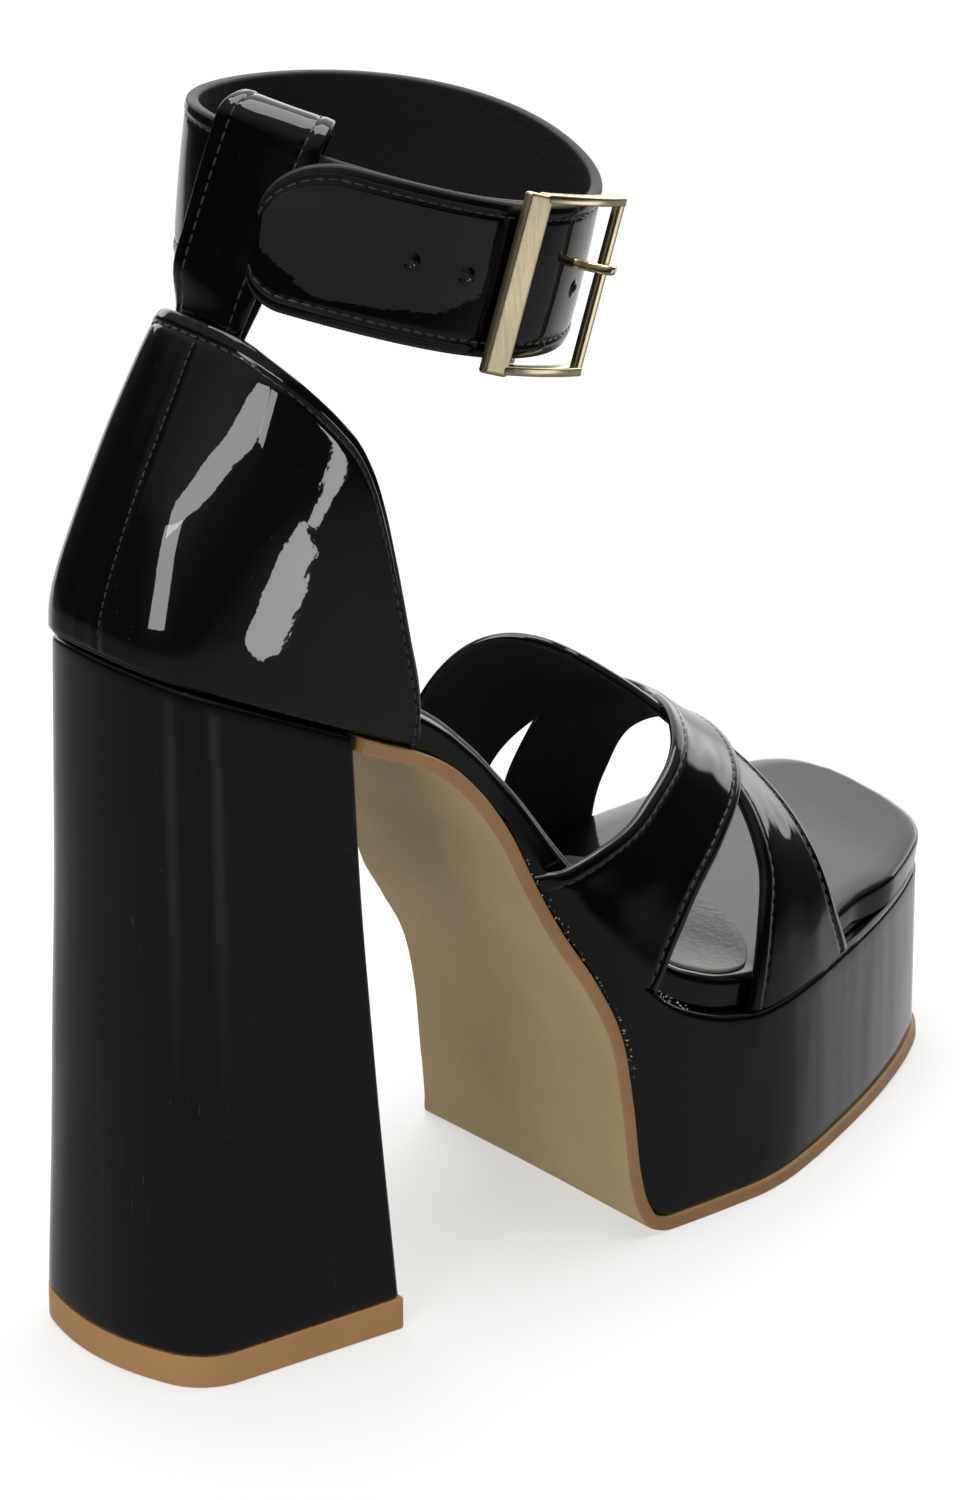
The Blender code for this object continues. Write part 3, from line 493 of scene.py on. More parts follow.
def beside(profile, x, distance):
    """Points that lie a distance from a profile along its own normal, upwards if positive."""
    slope = (profile(x + PROBE) - profile(x - PROBE)) / (2 * PROBE)
    length = np.hypot(1.0, slope)
    return x - distance * slope / length, profile(x) + distance / length


def under_footbed(x, extra):
    """Height at places x of the face under the footbed by the insole's thickness and an extra depth."""
    along = np.linspace(HEEL_END - PROFILE_MARGIN, TOE_END + PROFILE_MARGIN, PROFILE_SAMPLES)
    low_x, low_z = beside(footbed, along, -smooth(INSOLE, "thickness", along) - extra)
    return np.interp(x, low_x, low_z)


def insole_underside(x):
    """Height of the insole's lower face."""
    return under_footbed(x, 0.0)


def outsole_low(x):
    """Height of the outsole's underside: the table, or lower where the insole needs the room."""
    return np.minimum(smooth(OUTSOLE, "low", x), under_footbed(x, GAP + SHEET))


def heel_top(x):
    """Height of the sloped plane on which counter and insole stand over the heel."""
    return SEAT_HEIGHT + (SEAT_X - x) * SEAT_SLOPE - (SEAT_THICKNESS + GAP) / math.cos(SEAT_ANGLE)


def rim(x, inset):
    """Lateral and medial edge of the sole's outline at stations x, moved inwards by an inset."""
    edges = []
    for name, inwards in (("lateral", 1.0), ("medial", -1.0)):
        edge = np.stack([x, smooth(OUTLINE, name, x)], 1)
        along = unit(np.gradient(edge, axis=0))
        shift = inwards * np.stack([-along[:, 1], along[:, 0]], 1)
        edges.append(edge + shift * np.reshape(inset, (-1, 1)))
    return edges


def across(x, inset, count):
    """Grid of plan points, one row for each station and count points from lateral to medial."""
    lateral, medial = rim(x, np.broadcast_to(inset, x.shape))
    share = np.linspace(0, 1, count)[None, :, None]
    return lateral[:, None, :] * (1 - share) + medial[:, None, :] * share


def close_to_ends(start, end, count):
    """Stations that crowd together towards both ends."""
    return start + (end - start) * (1 - np.cos(np.linspace(0, math.pi, count))) / 2


def close_to_toe(start, end, count):
    """Stations that crowd together towards the far end only."""
    return start + (end - start) * np.sin(np.linspace(0, math.pi / 2, count))


def grid_quads(index):
    """Quads of a grid of vertex numbers."""
    return np.stack([index[:-1, :-1], index[1:, :-1], index[1:, 1:], index[:-1, 1:]], -1).reshape(-1, 4)


def outwards(points, groups):
    """Face groups, with their corners reversed if the body's signed volume is negative."""
    total = 0.0
    for group in groups:
        for corner in range(1, group.shape[1] - 1):
            turn = np.cross(points[group[:, corner]], points[group[:, corner + 1]])
            total += np.sum(points[group[:, 0]] * turn)
    return groups if total > 0 else [group[:, ::-1] for group in groups]


def sweep(rings, bands=0, end=0):
    """Closed body of rings: quads from ring to ring and a fan of triangles over both ends.

    bands gives a material number for each step round a ring, and end the one of the fans."""
    count, size = rings.shape[:2]
    index = np.arange(count * size).reshape(count, size)
    after = np.roll(index, -1, axis=1)
    quads = np.stack([index[:-1], after[:-1], after[1:], index[1:]], -1).reshape(-1, 4)
    hubs = count * size + np.arange(2)
    first = np.stack([np.full(size, hubs[0]), after[0], index[0]], 1)
    last = np.stack([np.full(size, hubs[1]), index[-1], after[-1]], 1)
    points = np.concatenate([rings.reshape(-1, 3), rings[[0, -1]].mean(1)])
    looks = np.concatenate([np.broadcast_to(bands, (count - 1, size)).ravel(), np.full(2 * size, end)])
    return points, outwards(points, [quads, first, last]), looks


def plate(faces, low_corner, top_corner, looks=(0, 0, 0)):
    """Closed plate: faces(inset) gives its lower and upper grid for an outline drawn in by an inset.

    The side goes from the lower to the upper outline and is rounded into both faces by quarter circles.
    looks are the material numbers of lower face, side and upper face."""
    levels = [(low_corner * (1 - math.sin(a)), low_corner * (1 - math.cos(a)), 0.0) for a in QUARTER]
    levels += [(0.0, None, share) for share in np.linspace(0, 1, SIDE_STEPS)[1:-1]]
    levels += [(top_corner * (1 - math.cos(a)), -top_corner * (1 - math.sin(a)), 1.0) for a in QUARTER]
    rings = []
    for inset, climb, share in levels:
        low, top = faces(inset)
        depth = np.maximum(np.linalg.norm(top - low, axis=-1, keepdims=True), 1e-6)
        start = np.minimum(low_corner / depth, CORNER_SHARE)
        end = 1 - np.minimum(top_corner / depth, CORNER_SHARE)
        if climb is None:
            height = start + (end - start) * share
        elif share == 0.0:
            height = np.minimum(climb / depth, CORNER_SHARE)
        else:
            height = 1 - np.minimum(-climb / depth, CORNER_SHARE)
        rings.append(low + (top - low) * height)
    rows, columns = rings[0].shape[:2]
    place = np.arange(rows * columns).reshape(rows, columns)
    loop = np.concatenate([place[0, :-1], place[:-1, -1], place[-1, :0:-1], place[:0:-1, 0]])
    side = np.array([ring.reshape(-1, 3)[loop] for ring in rings])
    index = np.arange(side.shape[0] * len(loop)).reshape(side.shape[0], len(loop))
    groups = [grid_quads(np.concatenate([index, index[:, :1]], 1))]
    points = [side.reshape(-1, 3)]
    count = index.size
    for ring, own, turn in ((rings[0], index[0], -1), (rings[-1], index[-1], 1)):
        cap = np.full(rows * columns, -1)
        cap[loop] = own
        inner = cap < 0
        cap[inner] = count + np.arange(inner.sum())
        count += int(inner.sum())
        points.append(ring.reshape(-1, 3)[inner])
        groups.append(grid_quads(cap.reshape(rows, columns))[:, ::turn])
    points = np.concatenate(points)
    marks = np.concatenate([np.full(len(group), look) for group, look in
                            zip(groups, (looks[1], looks[0], looks[2]))])
    return points, outwards(points, groups), marks


def strip_places(width):
    """Places across a strip, in millimetres: close together beside both edges and even in between."""
    width = np.asarray(width, float)[:, None]
    left = EDGE_PLACES * np.minimum(1.0, width / (EDGE_ROOM * EDGE_PLACES[-1]))
    right = width - left[:, ::-1]
    share = np.linspace(0, 1, STRIP_MIDDLE + 2)[1:-1]
    return np.concatenate([left, left[:, -1:] + (right[:, :1] - left[:, -1:]) * share, right], 1)


def drawn_together(places, width, corner):
    """Places across a strip, drawn in at both edges to leave room for its rounded corners."""
    return corner + places * ((width - 2 * corner) / width)[:, None]


def creased(along, places, folds):
    """Relief of soft creases: a sum of bells at places along and across, with their lifts and widths."""
    rise = 0.0
    for at, place, lift, long, wide in zip(*folds.values()):
        rise = rise + lift * bell(along - at, long)[:, None] * bell(places - place, wide)
    return rise


def seam_relief(edge, pucker=1.0):
    """Relief at a distance from a sewn edge: a roll half way to the seam, and a groove along the seam."""
    inset = sizes().stitch_inset / MM
    groove = bell(edge - inset, GROOVE_WIDTH) * pucker
    return sizes().groove / MM * (ROLL_SHARE * bell(edge - inset / 2, ROLL_WIDTH) - groove)


def sewn(places, width, along):
    """Relief of a strip that is sewn along both edges, with grooves that pucker at each stitch."""
    edge = np.minimum(places, np.asarray(width)[:, None] - places)
    pucker = 1 - PUCKER + PUCKER * np.cos(2 * np.pi * along * MM / sizes().stitch_pitch)[:, None]
    return seam_relief(edge, pucker)


def slab(face, wall, corner, relief):
    """Closed sections of a sheet: outer face, rounded edge, inner face and rounded edge.

    Each section is a rectangle as thick as the wall with quarter-round corners, and relief lifts the
    outer face. Also gives the material number of each step, 0 for the outer face, 1 for the edges and 2
    for the inner face, and the directions that point out."""
    half = wall / 2
    out = -normals(face)
    middle = face - out * half
    first = unit(middle[:, :1] - middle[:, 1:2])
    last = unit(middle[:, -1:] - middle[:, -2:-1])
    run, climb = corner * np.sin(QUARTER), corner * np.cos(QUARTER)
    reach = np.concatenate([run, climb])[1:-1][None, :, None]
    height = np.concatenate([half - corner + climb, corner - half - run])[1:-1][None, :, None]
    outer = face + out * np.broadcast_to(relief, face.shape[:2])[..., None]
    rings = [outer, middle[:, -1:] + last * reach + out[:, -1:] * height, (middle - out * half)[:, ::-1],
             (middle[:, :1] + first * reach + out[:, :1] * height)[:, ::-1]]
    columns = face.shape[1]
    edge = reach.shape[1] + 1
    bands = np.repeat([0, 1, 2, 1], [columns - 1, edge, columns - 1, edge])
    return np.concatenate(rings, 1), bands, out


def lumps(middle, ahead, up, length, width, height):
    """Points and faces of small bars with round ends, one at each middle point.

    Each is an ellipse in section, drawn in towards both ends like a half circle; length, width and
    height are half sizes, for each bar or for all."""
    ahead, up = unit(ahead), unit(up)
    side = np.cross(up, ahead)
    turn = np.linspace(-LUMP_TURN, LUMP_TURN, LUMP_RINGS)[:, None]
    around = circle(LUMP_SIDES)
    girth = np.cos(turn) ** 0.5
    shape = (np.sin(turn) + 0 * around, girth * np.cos(around), girth * np.sin(around))
    bars = middle[:, None, None]
    for way, part, extent in zip((ahead, side, up), shape, (length, width, height)):
        reach = np.broadcast_to(extent, len(middle))[:, None, None, None]
        bars = bars + way[:, None, None] * part[..., None] * reach
    count, rings, sides = bars.shape[:3]
    index = np.arange(count * rings * sides).reshape(count, rings, sides)
    after = np.roll(index, -1, axis=2)
    quads = np.stack([index[:, :-1], after[:, :-1], after[:, 1:], index[:, 1:]], -1).reshape(-1, 4)
    return bars.reshape(-1, 3), [quads, np.concatenate([index[:, 0, ::-1], index[:, -1]])]


def stitch_row(path, out, scale=1.0):
    """Points and faces of a row of stitches that follows a path; scale makes them finer or coarser."""
    size = sizes()
    place = run_length(path)
    count = max(1, int(place[-1] * MM / size.stitch_pitch / scale))
    centre = (np.arange(count) + 0.5) * place[-1] / count
    tangent = unit(np.gradient(path, axis=0))
    middle, ahead, up = (along_path(centre, place, way) for way in (path, tangent, out))
    width = size.stitch_width / MM / 2 * scale
    return lumps(middle, ahead, up, size.stitch_length / MM / 2 * scale, width, width)


def joined(bodies):
    """One list of points and face groups from several bodies."""
    points, groups, count = [], [], 0
    for body_points, body_groups in bodies:
        points.append(body_points)
        groups += [group + count for group in body_groups]
        count += len(body_points)
    return np.concatenate(points), groups


def add_piece(name, body, materials, nodes=(), crease=50.0):
    """Object of a body given in millimetres, riding on the root and standing for the named solids."""
    points, groups = body[:2]
    mesh = bpy.data.meshes.new(name)
    mesh.from_pydata((points * MM).tolist(), [], [face for group in groups for face in group.tolist()])
    for material in materials:
        mesh.materials.append(material)
    if len(body) > 2:
        mesh.polygons.foreach_set("material_index", body[2].astype(np.int32))
    if mesh.validate():
        raise RuntimeError(name + " has faulty faces")
    mesh.shade_smooth()
    mesh.set_sharp_from_angle(angle=math.radians(crease))
    piece = bpy.data.objects.new(name, mesh)
    bpy.context.collection.objects.link(piece)
    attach(piece, "root")
    if nodes:
        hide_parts(*nodes)
    for light, *_, pieces in LIGHTS:
        if name in pieces and light in bpy.data.collections:
            bpy.data.collections[light].objects.link(piece)
    return piece


def source(value):
    """What feeds a socket: the first output of a node, or any other value as it is."""
    return value.outputs[0] if isinstance(value, bpy.types.Node) else value


def node(tree, kind, inputs=None, **settings):
    """Adds a shader node with its settings, and sets or links its inputs."""
    made = tree.nodes.new("ShaderNode" + kind)
    for name, value in settings.items():
        setattr(made, name, value)
    for name, value in (inputs or {}).items():
        value = source(value)
        if isinstance(value, bpy.types.NodeSocket):
            tree.links.new(value, made.inputs[name])
        else:
            made.inputs[name].default_value = value
    return made


def new_material(name, **values):
    """A material with its Principled shader's own values, and its tree, shader and Object coordinates."""
    material = bpy.data.materials.new(name)
    material.use_nodes = True
    tree = material.node_tree
    shader = tree.nodes["Principled BSDF"]
    for key, value in values.items():
        shader.inputs[key.replace("_", " ")].default_value = value
    return material, tree, shader, node(tree, "TexCoord").outputs["Object"]


def dress(tree, shader, share, first, second, **links):
    """Links a shader's inputs; its base colour goes from the first to the second colour by a share."""
    tone = node(tree, "Mix", {0: share, 6: (*first, 1.0), 7: (*second, 1.0)}, data_type="RGBA")
    for name, value in dict(links, Base_Color=tone.outputs[2]).items():
        tree.links.new(source(value), shader.inputs[name.replace("_", " ")])


def shaded(colour, factor):
    """A colour made darker or paler by a factor, up to full brightness."""
    return tuple(min(1.0, part * factor) for part in colour)


def grains(size):
    """Texture scale whose features are about a size apart, in millimetres."""
    return 1 / (size * MM)


def patent_leather(name, wave=0.08, peel=0.016, coat_roughness=0.025, stretch=(1.0, 1.0, 1.0), scuffs=0.0):
    """Patent leather: split leather under a poured clear lacquer.

    The lacquer gives sharp reflections that soft waves 12 mm apart and a fine peel 3 mm apart bend. A few
    grey specks of dust lie on it, and scuffs are upright scratches about 0.4 mm wide, as coarse as they
    need to be to show."""
    material, tree, shader, place = new_material(
        name, Roughness=0.45, Specular_IOR_Level=0.03, Coat_Weight=1.0, Coat_Roughness=coat_roughness,
        Coat_IOR=1.5)
    turned = node(tree, "Mapping", {"Vector": place, "Scale": stretch})
    upright = node(tree, "Mapping", {"Vector": place, "Scale": (1.0, 1.0, 0.16)})
    waves, fine, specks, lines, patches = (
        node(tree, "TexNoise", {"Vector": vector, "Scale": grains(size), "Detail": detail})
        for vector, size, detail in ((turned, 12.0, 1.0), (place, 3.0, 2.0), (place, 1.4, 3.0),
                                     (upright, 0.9, 1.0), (place, 30.0, 1.0)))
    first = node(tree, "Bump", {"Height": waves, "Distance": wave * MM, "Strength": 1.0})
    second = node(tree, "Bump", {"Height": fine, "Distance": peel * MM, "Strength": 1.0, "Normal": first})
    dust, worn, scratches = (
        node(tree, "MapRange", {"Value": value, "From Min": start, "From Max": end, "To Max": most})
        for value, start, end, most in ((specks, 0.7, 0.85, 0.25), (patches, 0.58, 0.66, 1.0),
                                        (lines, 0.7, 0.75, scuffs)))
    scars = node(tree, "Math", {0: worn, 1: scratches}, operation="MULTIPLY")
    mask = node(tree, "Math", {0: dust, 1: scars}, operation="MAXIMUM")
    dress(tree, shader, mask, colours().patent, linear("#4A4A4C"), Normal=second, Coat_Normal=second)
    return material


def grained(name, colour, size, height, roughness, crease_shade_depth=0.35):
    """Matt grained synthetic leather: rounded cells with sunk creases, with painted shade in the creases
    that a random cloudy tone makes stronger or weaker.
    """
    material, tree, shader, place = new_material(name, Specular_IOR_Level=0.35)
    cells = node(tree, "TexVoronoi", {"Vector": place, "Scale": grains(size), "Randomness": 1.0},
                 feature="SMOOTH_F1")
    cloud = node(tree, "TexNoise", {"Vector": place, "Scale": grains(size * 9), "Detail": 4.0})
    relief = node(tree, "Bump", {"Height": cells, "Distance": height * MM, "Strength": 1.0}, invert=True)
    # painted shade: darker in the sunk creases between the cells, by more where the cloud is high
    shade = node(tree, "Math", {0: cells, 1: cloud}, operation="MULTIPLY")
    rough = node(tree, "MapRange", {"Value": cloud, "To Min": roughness - 0.08, "To Max": roughness + 0.08})
    dress(tree, shader, shade, colour, shaded(colour, 1 - crease_shade_depth), Roughness=rough, Normal=relief)
    return material


def moulded_sheet(name, colour, patchy, roughness, grit=0.9):
    """Moulded or cut rubber sheet: an even satin face with soft cloudy patches and a fine grit."""
    material, tree, shader, place = new_material(name, Specular_IOR_Level=0.4)
    cloud = node(tree, "TexNoise", {"Vector": place, "Scale": grains(16.0), "Detail": 3.0})
    fine = node(tree, "TexNoise", {"Vector": place, "Scale": grains(grit), "Detail": 2.0})
    relief = node(tree, "Bump", {"Height": fine, "Distance": 0.012 * MM, "Strength": 1.0})
    rough = node(tree, "MapRange", {"Value": cloud, "To Min": roughness - 0.1, "To Max": roughness + 0.1})
    dress(tree, shader, cloud, colour, shaded(colour, 1 - patchy), Roughness=rough, Normal=relief)
    return material


def gold_plate(name, roughness, brushed):
    """Pale gold plating on a cast frame: a satin or bright metal with fine brush marks across it."""
    material, tree, shader, place = new_material(name, Metallic=1.0)
    lines = node(tree, "Mapping", {"Vector": place, "Scale": (1.0, 1.0, 0.12)})
    marks = node(tree, "TexNoise", {"Vector": lines, "Scale": grains(0.8), "Detail": 3.0})
    rough = node(tree, "MapRange", {"Value": marks, "To Min": roughness * 0.7, "To Max": roughness * 1.3})
    relief = node(tree, "Bump", {"Height": marks, "Distance": brushed * MM, "Strength": 1.0})
    gold = colours().gold
    dress(tree, shader, marks, gold, shaded(gold, 1.08), Roughness=rough, Normal=relief)
    return material


def sewing_thread(name):
    """Bonded nylon thread: twisted strands about 0.3 mm apart with a soft sheen, and a painted highlight on
    the raised strands.
    """
    material, tree, shader, place = new_material(name, Roughness=0.38)
    twist = node(tree, "TexWave", {"Vector": place, "Scale": grains(0.9), "Distortion": 2.0},
                 bands_direction="DIAGONAL").outputs[1]
    relief = node(tree, "Bump", {"Height": twist, "Distance": 0.05 * MM, "Strength": 1.0})
    thread = colours().thread
    # painted highlight: the raised strands of the twist are made 1.7 times paler
    dress(tree, shader, twist, thread, shaded(thread, 1.7), Normal=relief)
    return material


def dried_glue(name):
    """Dried contact cement: small milky lumps with a wet gloss."""
    material, tree, shader, place = new_material(name, Roughness=0.25, Specular_IOR_Level=0.5)
    cloud = node(tree, "TexNoise", {"Vector": place, "Scale": grains(1.5), "Detail": 2.0})
    dress(tree, shader, cloud, linear("#3C3A37"), linear("#C9C4BA"))
    return material


def glowing_floor(name):
    """Floor sheet with a painted glow, though it is no lamp: matt and nearly white with a faint mottle.

    The painted glow keeps shadows pale, and the sheet gives back less of the light from above."""
    white = colours().floor
    material, tree, shader, place = new_material(name, Roughness=0.9, Specular_IOR_Level=0.1,
                                                 Emission_Color=(*white, 1.0), Emission_Strength=FLOOR_GLOW)
    mottle = node(tree, "TexNoise", {"Vector": place, "Scale": grains(60.0), "Detail": 3.0})
    dress(tree, shader, mottle, shaded(white, FLOOR_RETURN), shaded(white, FLOOR_RETURN * 0.97))
    return material


def studio_light(tree):
    """World: a bright backdrop on the far side, and a dark room with a dim floor on the camera's side.

    The backdrop fills a cone about a level direction, wider above the horizon and softer at its edge near
    the floor. inner and outer are its limits, and all ramps but wider add up to the brightness."""
    ray = node(tree, "TexCoord").outputs["Generated"]
    middle = (math.cos(BACKDROP_TURN), math.sin(BACKDROP_TURN), 0.0)
    facing = node(tree, "VectorMath", {0: ray, 1: middle}, operation="DOT_PRODUCT")
    height = node(tree, "SeparateXYZ", {0: ray}).outputs[2]
    ramp = {name: node(tree, "MapRange", {"Value": height, **dict(zip(RAMP_INPUTS, values))})
            for name, values in WORLD_RAMPS.items()}
    reach = node(tree, "Math", {0: facing.outputs["Value"], 1: ramp["wider"]}, operation="ADD")
    share = node(tree, "MapRange", {"Value": reach, "From Min": ramp["inner"], "From Max": ramp["outer"]},
                 interpolation_type="SMOOTHSTEP")
    above = node(tree, "Math", {0: ramp["table_top"], 1: ramp["fade"]}, operation="SUBTRACT")
    bright = node(tree, "Math", {0: above, 1: ramp["near_floor"]}, operation="ADD")
    dark = node(tree, "Math", {0: ramp["floor"], 1: ramp["room"]}, operation="ADD")
    level = node(tree, "Mix", {0: share, 2: dark, 3: bright})
    background = tree.nodes["Background"].inputs
    tree.links.new(source(level), background["Strength"])
    background["Color"].default_value = (1.0, 1.0, 1.0, 1.0)


def outsole_faces(inset):
    """Lower and upper grid of the outsole sheet: its profile and a line one thickness above it."""
    start = HEEL["front"][-1] + 2 * GAP
    dense = np.linspace(start, TOE_END, SOLE_SAMPLES)
    length = run_length(np.stack([dense, outsole_low(dense)], 1))
    x = np.interp(close_to_toe(0, length[-1], OUTSOLE_ROWS), length, dense)
    plan = across(x, inset - SHEET_PROUD, SOLE_COLUMNS)
    place, side = plan[..., 0], plan[..., 1]
    shift = smooth(OUTSOLE, "medial_shift", place) * np.linspace(0, 1, plan.shape[1])
    low = np.stack([place + shift, side, outsole_low(place)], -1)
    top_x, top_z = beside(outsole_low, place, SHEET)
    return low, np.stack([top_x + shift, side, top_z], -1)


def platform_faces(inset):
    """Lower and upper grid of the platform: the outsole's top and the insole's underside, less a gap."""
    x = close_to_toe(PLATFORM["footbed"][0], TOE_END, PLATFORM_ROWS)
    upper = across(x, inset, SOLE_COLUMNS)
    top_x, top_z = beside(insole_underside, upper[..., 0], -GAP)
    lower = across(smooth(PLATFORM, "outsole", x), inset, SOLE_COLUMNS)
    shift = smooth(OUTSOLE, "medial_shift", lower[..., 0]) * np.linspace(0, 1, lower.shape[1])
    low_x, low_z = beside(outsole_low, lower[..., 0], SHEET + GAP)
    return (np.stack([low_x + shift, lower[..., 1], low_z], -1),
            np.stack([top_x, upper[..., 1], top_z], -1))


def insole_faces(inset):
    """Lower and upper grid of the insole: its underside and a line one thickness above it.

    The top stands out over the underside at the toe."""
    x = close_to_ends(HEEL_END, TOE_END, INSOLE_ROWS)
    edge = smooth(INSOLE, "inset", x) + inset
    overhang = TOE_OVERHANG * np.clip((x - TOE_START) / TOE_START_LENGTH, 0, 1)
    plan = across(x, edge - overhang, FOOTBED_COLUMNS)
    top_x, top_z = beside(insole_underside, plan[..., 0], smooth(INSOLE, "thickness", plan[..., 0]))
    low = across(x, edge, FOOTBED_COLUMNS)
    return (np.stack([low[..., 0], low[..., 1], insole_underside(low[..., 0])], -1),
            np.stack([top_x, plan[..., 1], top_z], -1))


def sock_faces(inset):
    """Lower and upper grid of the sock pad: inside the insole's edge, with half an oval at the front."""
    front = sizes().sock_front / MM
    x = close_to_ends(HEEL_END + SOCK_MARGIN + inset, front - inset, SOCK_ROWS)
    lateral, medial = rim(x, smooth(INSOLE, "inset", x) + SOCK_MARGIN + inset)
    middle = (lateral[:, 1] + medial[:, 1]) / 2
    share = np.clip((x - front + SOCK_ROUND) / SOCK_ROUND, 0, 1)
    narrow = np.sqrt(np.clip(1 - share ** SOCK_ROUND_POWER, SOCK_TIP, 1))
    spread = np.linspace(-1, 1, FOOTBED_COLUMNS)[None, :]
    half = (medial[:, 1] - lateral[:, 1]) / 2 * narrow
    side = middle[:, None] + half[:, None] * spread
    place = np.broadcast_to(x[:, None], side.shape)
    thickness = smooth(INSOLE, "thickness", place)
    low_x, low_z = beside(insole_underside, place, thickness + SOCK_LIFT)
    top_x, top_z = beside(insole_underside, place, thickness + sizes().sock_thickness / MM)
    return np.stack([low_x, side, low_z], -1), np.stack([top_x, side, top_z], -1)


def heel_plan(front, back, half_front, half_rear):
    """Plan of heel and lift: flat breast with small round edges, straight sides and round rear corners."""
    corner_x = back + HEEL_BULGE
    tilt = math.atan2(half_front - half_rear, front - corner_x)
    reach = HEEL_CORNER * math.tan(math.pi / 4 - tilt / 2)
    side_end = np.array([corner_x + reach * math.cos(tilt), half_rear + reach * math.sin(tilt)])
    rear_half = half_rear - reach
    corner = np.array([front, half_front])
    breast_steps, edge_steps, side_steps, corner_steps, rear_steps = HEEL_PLAN_STEPS
    breast_y = np.linspace(0, half_front - HEEL_EDGE, breast_steps)
    breast = np.column_stack([np.full(breast_steps, front), breast_y])
    bend = np.linspace(0, 1, edge_steps)[1:, None]
    side_start = corner + HEEL_EDGE * unit(side_end - corner)
    fillet = breast[-1] * (1 - bend) ** 2 + corner * 2 * bend * (1 - bend) + side_start * bend ** 2
    share = np.linspace(0, 1, side_steps)[1:-1, None]
    straight = side_start * (1 - share) + side_end * share
    bow = math.radians(HEEL_REAR_TURN)
    turn = np.linspace(math.pi / 2 + tilt, math.pi - bow, corner_steps)
    hub = np.array([corner_x + HEEL_CORNER, rear_half])
    arc = hub + HEEL_CORNER * np.stack([np.cos(turn), np.sin(turn)], 1)
    end_x, end_y = arc[-1]
    rear_y = np.linspace(end_y, 0, rear_steps)[1:]
    depth = end_y * math.tan(bow) / 2
    rear = np.column_stack([end_x - depth * (1 - (rear_y / end_y) ** 2), rear_y])
    medial = np.concatenate([breast, fillet, straight, arc, rear])
    lateral = medial[-2:0:-1] * np.array([1.0, -1.0])
    return np.concatenate([medial, lateral])


def drawn_in(plan, inset):
    """A closed plan loop moved inwards along its own normals, by one inset or by one for each point."""
    ahead = unit(np.roll(plan, -1, axis=0) - np.roll(plan, 1, axis=0))
    return plan + inset * np.stack([-ahead[:, 1], ahead[:, 0]], 1)


def rounded_levels(height, low_corner, top_corner, steps):
    """Inset and height of the rings of an upright block with quarter-round lower and upper edges."""
    levels = [(low_corner * (1 - math.sin(a)), low_corner * (1 - math.cos(a))) for a in QUARTER]
    levels += [(0.0, rise) for rise in np.linspace(low_corner, height - top_corner, steps)[1:-1]]
    top = height - top_corner
    return levels + [(top_corner * (1 - math.cos(a)), top + top_corner * math.sin(a)) for a in QUARTER]


def heel_rings():
    """Rings of the heel block up to its sloped seat, with soft waves in the stretched wrap."""
    floor = LIFT_HEIGHT + GAP
    rings = []
    for inset, share in rounded_levels(1.0, HEEL_LOW_EDGE, HEEL_TOP_EDGE, HEEL_STEPS):
        plan = heel_plan(*(float(smooth(HEEL, name, share)) for name in HEEL_SIZES))
        plan = drawn_in(plan, inset * HEEL_EDGE_SCALE)
        ring = np.column_stack([plan, floor + share * (heel_top(plan[:, 0]) - floor)])
        wave = HEEL_WAVE * ripple(ring * HEEL_WAVE_STRETCH, HEEL_WAVE_LENGTH, HEEL_WAVE_SEED)
        ring[:, :2] = drawn_in(plan, -wave[:, None])
        rings.append(ring)
    return np.array(rings)


def lift_rings():
    """Rings of the heel lift: the heel's foot, a little proud at the breast, with softened edges."""
    front, back, half_front, half_rear = (HEEL[name][0] for name in HEEL_SIZES)
    plan = heel_plan(front + LIFT_PROUD, back, half_front + LIFT_PROUD / 2, half_rear)
    return np.array([np.column_stack([drawn_in(plan, inset), np.full(len(plan), rise)])
                     for inset, rise in rounded_levels(LIFT_HEIGHT, *LIFT_EDGES, LIFT_STEPS)])


def heel_line(turn):
    """Plan of the counter's foot: -1 at the lateral front, 0 at the back, 1 at the medial front."""
    x = close_to_ends(HEEL_END, COUNTER_FRONT, COUNTER_ROWS - 1)
    places = []
    for edge in rim(x, np.full(len(x), -COUNTER_PROUD)):
        line = np.concatenate([[(edge[0, 0], 0.0)], edge])
        length = run_length(line)
        places.append(along_path(np.abs(turn) * length[-1], length, line))
    return np.where((turn < 0)[..., None], places[0], places[1])


def counter_surface(turn, height):
    """Outer face of the counter: the heel's outline, bulged at the back and drawn in towards the top."""
    plan = heel_line(turn)
    x = plan[..., 0]
    side = plan[..., 1] * smooth(COUNTER_SHAPE, "width", height)
    forward = np.clip((x - HEEL_END) / (COUNTER_FRONT - HEEL_END), 0, 1)
    slide = smooth(COUNTER_SHAPE, "back", height) * (1 - forward)
    place = x + slide * math.cos(SEAT_ANGLE) + height * math.sin(SEAT_ANGLE)
    level = heel_top(x) - slide * math.sin(SEAT_ANGLE) + height * math.cos(SEAT_ANGLE)
    return np.stack([place, side + COUNTER_LEAN * height / TOPLINE["height"][0], level], -1)


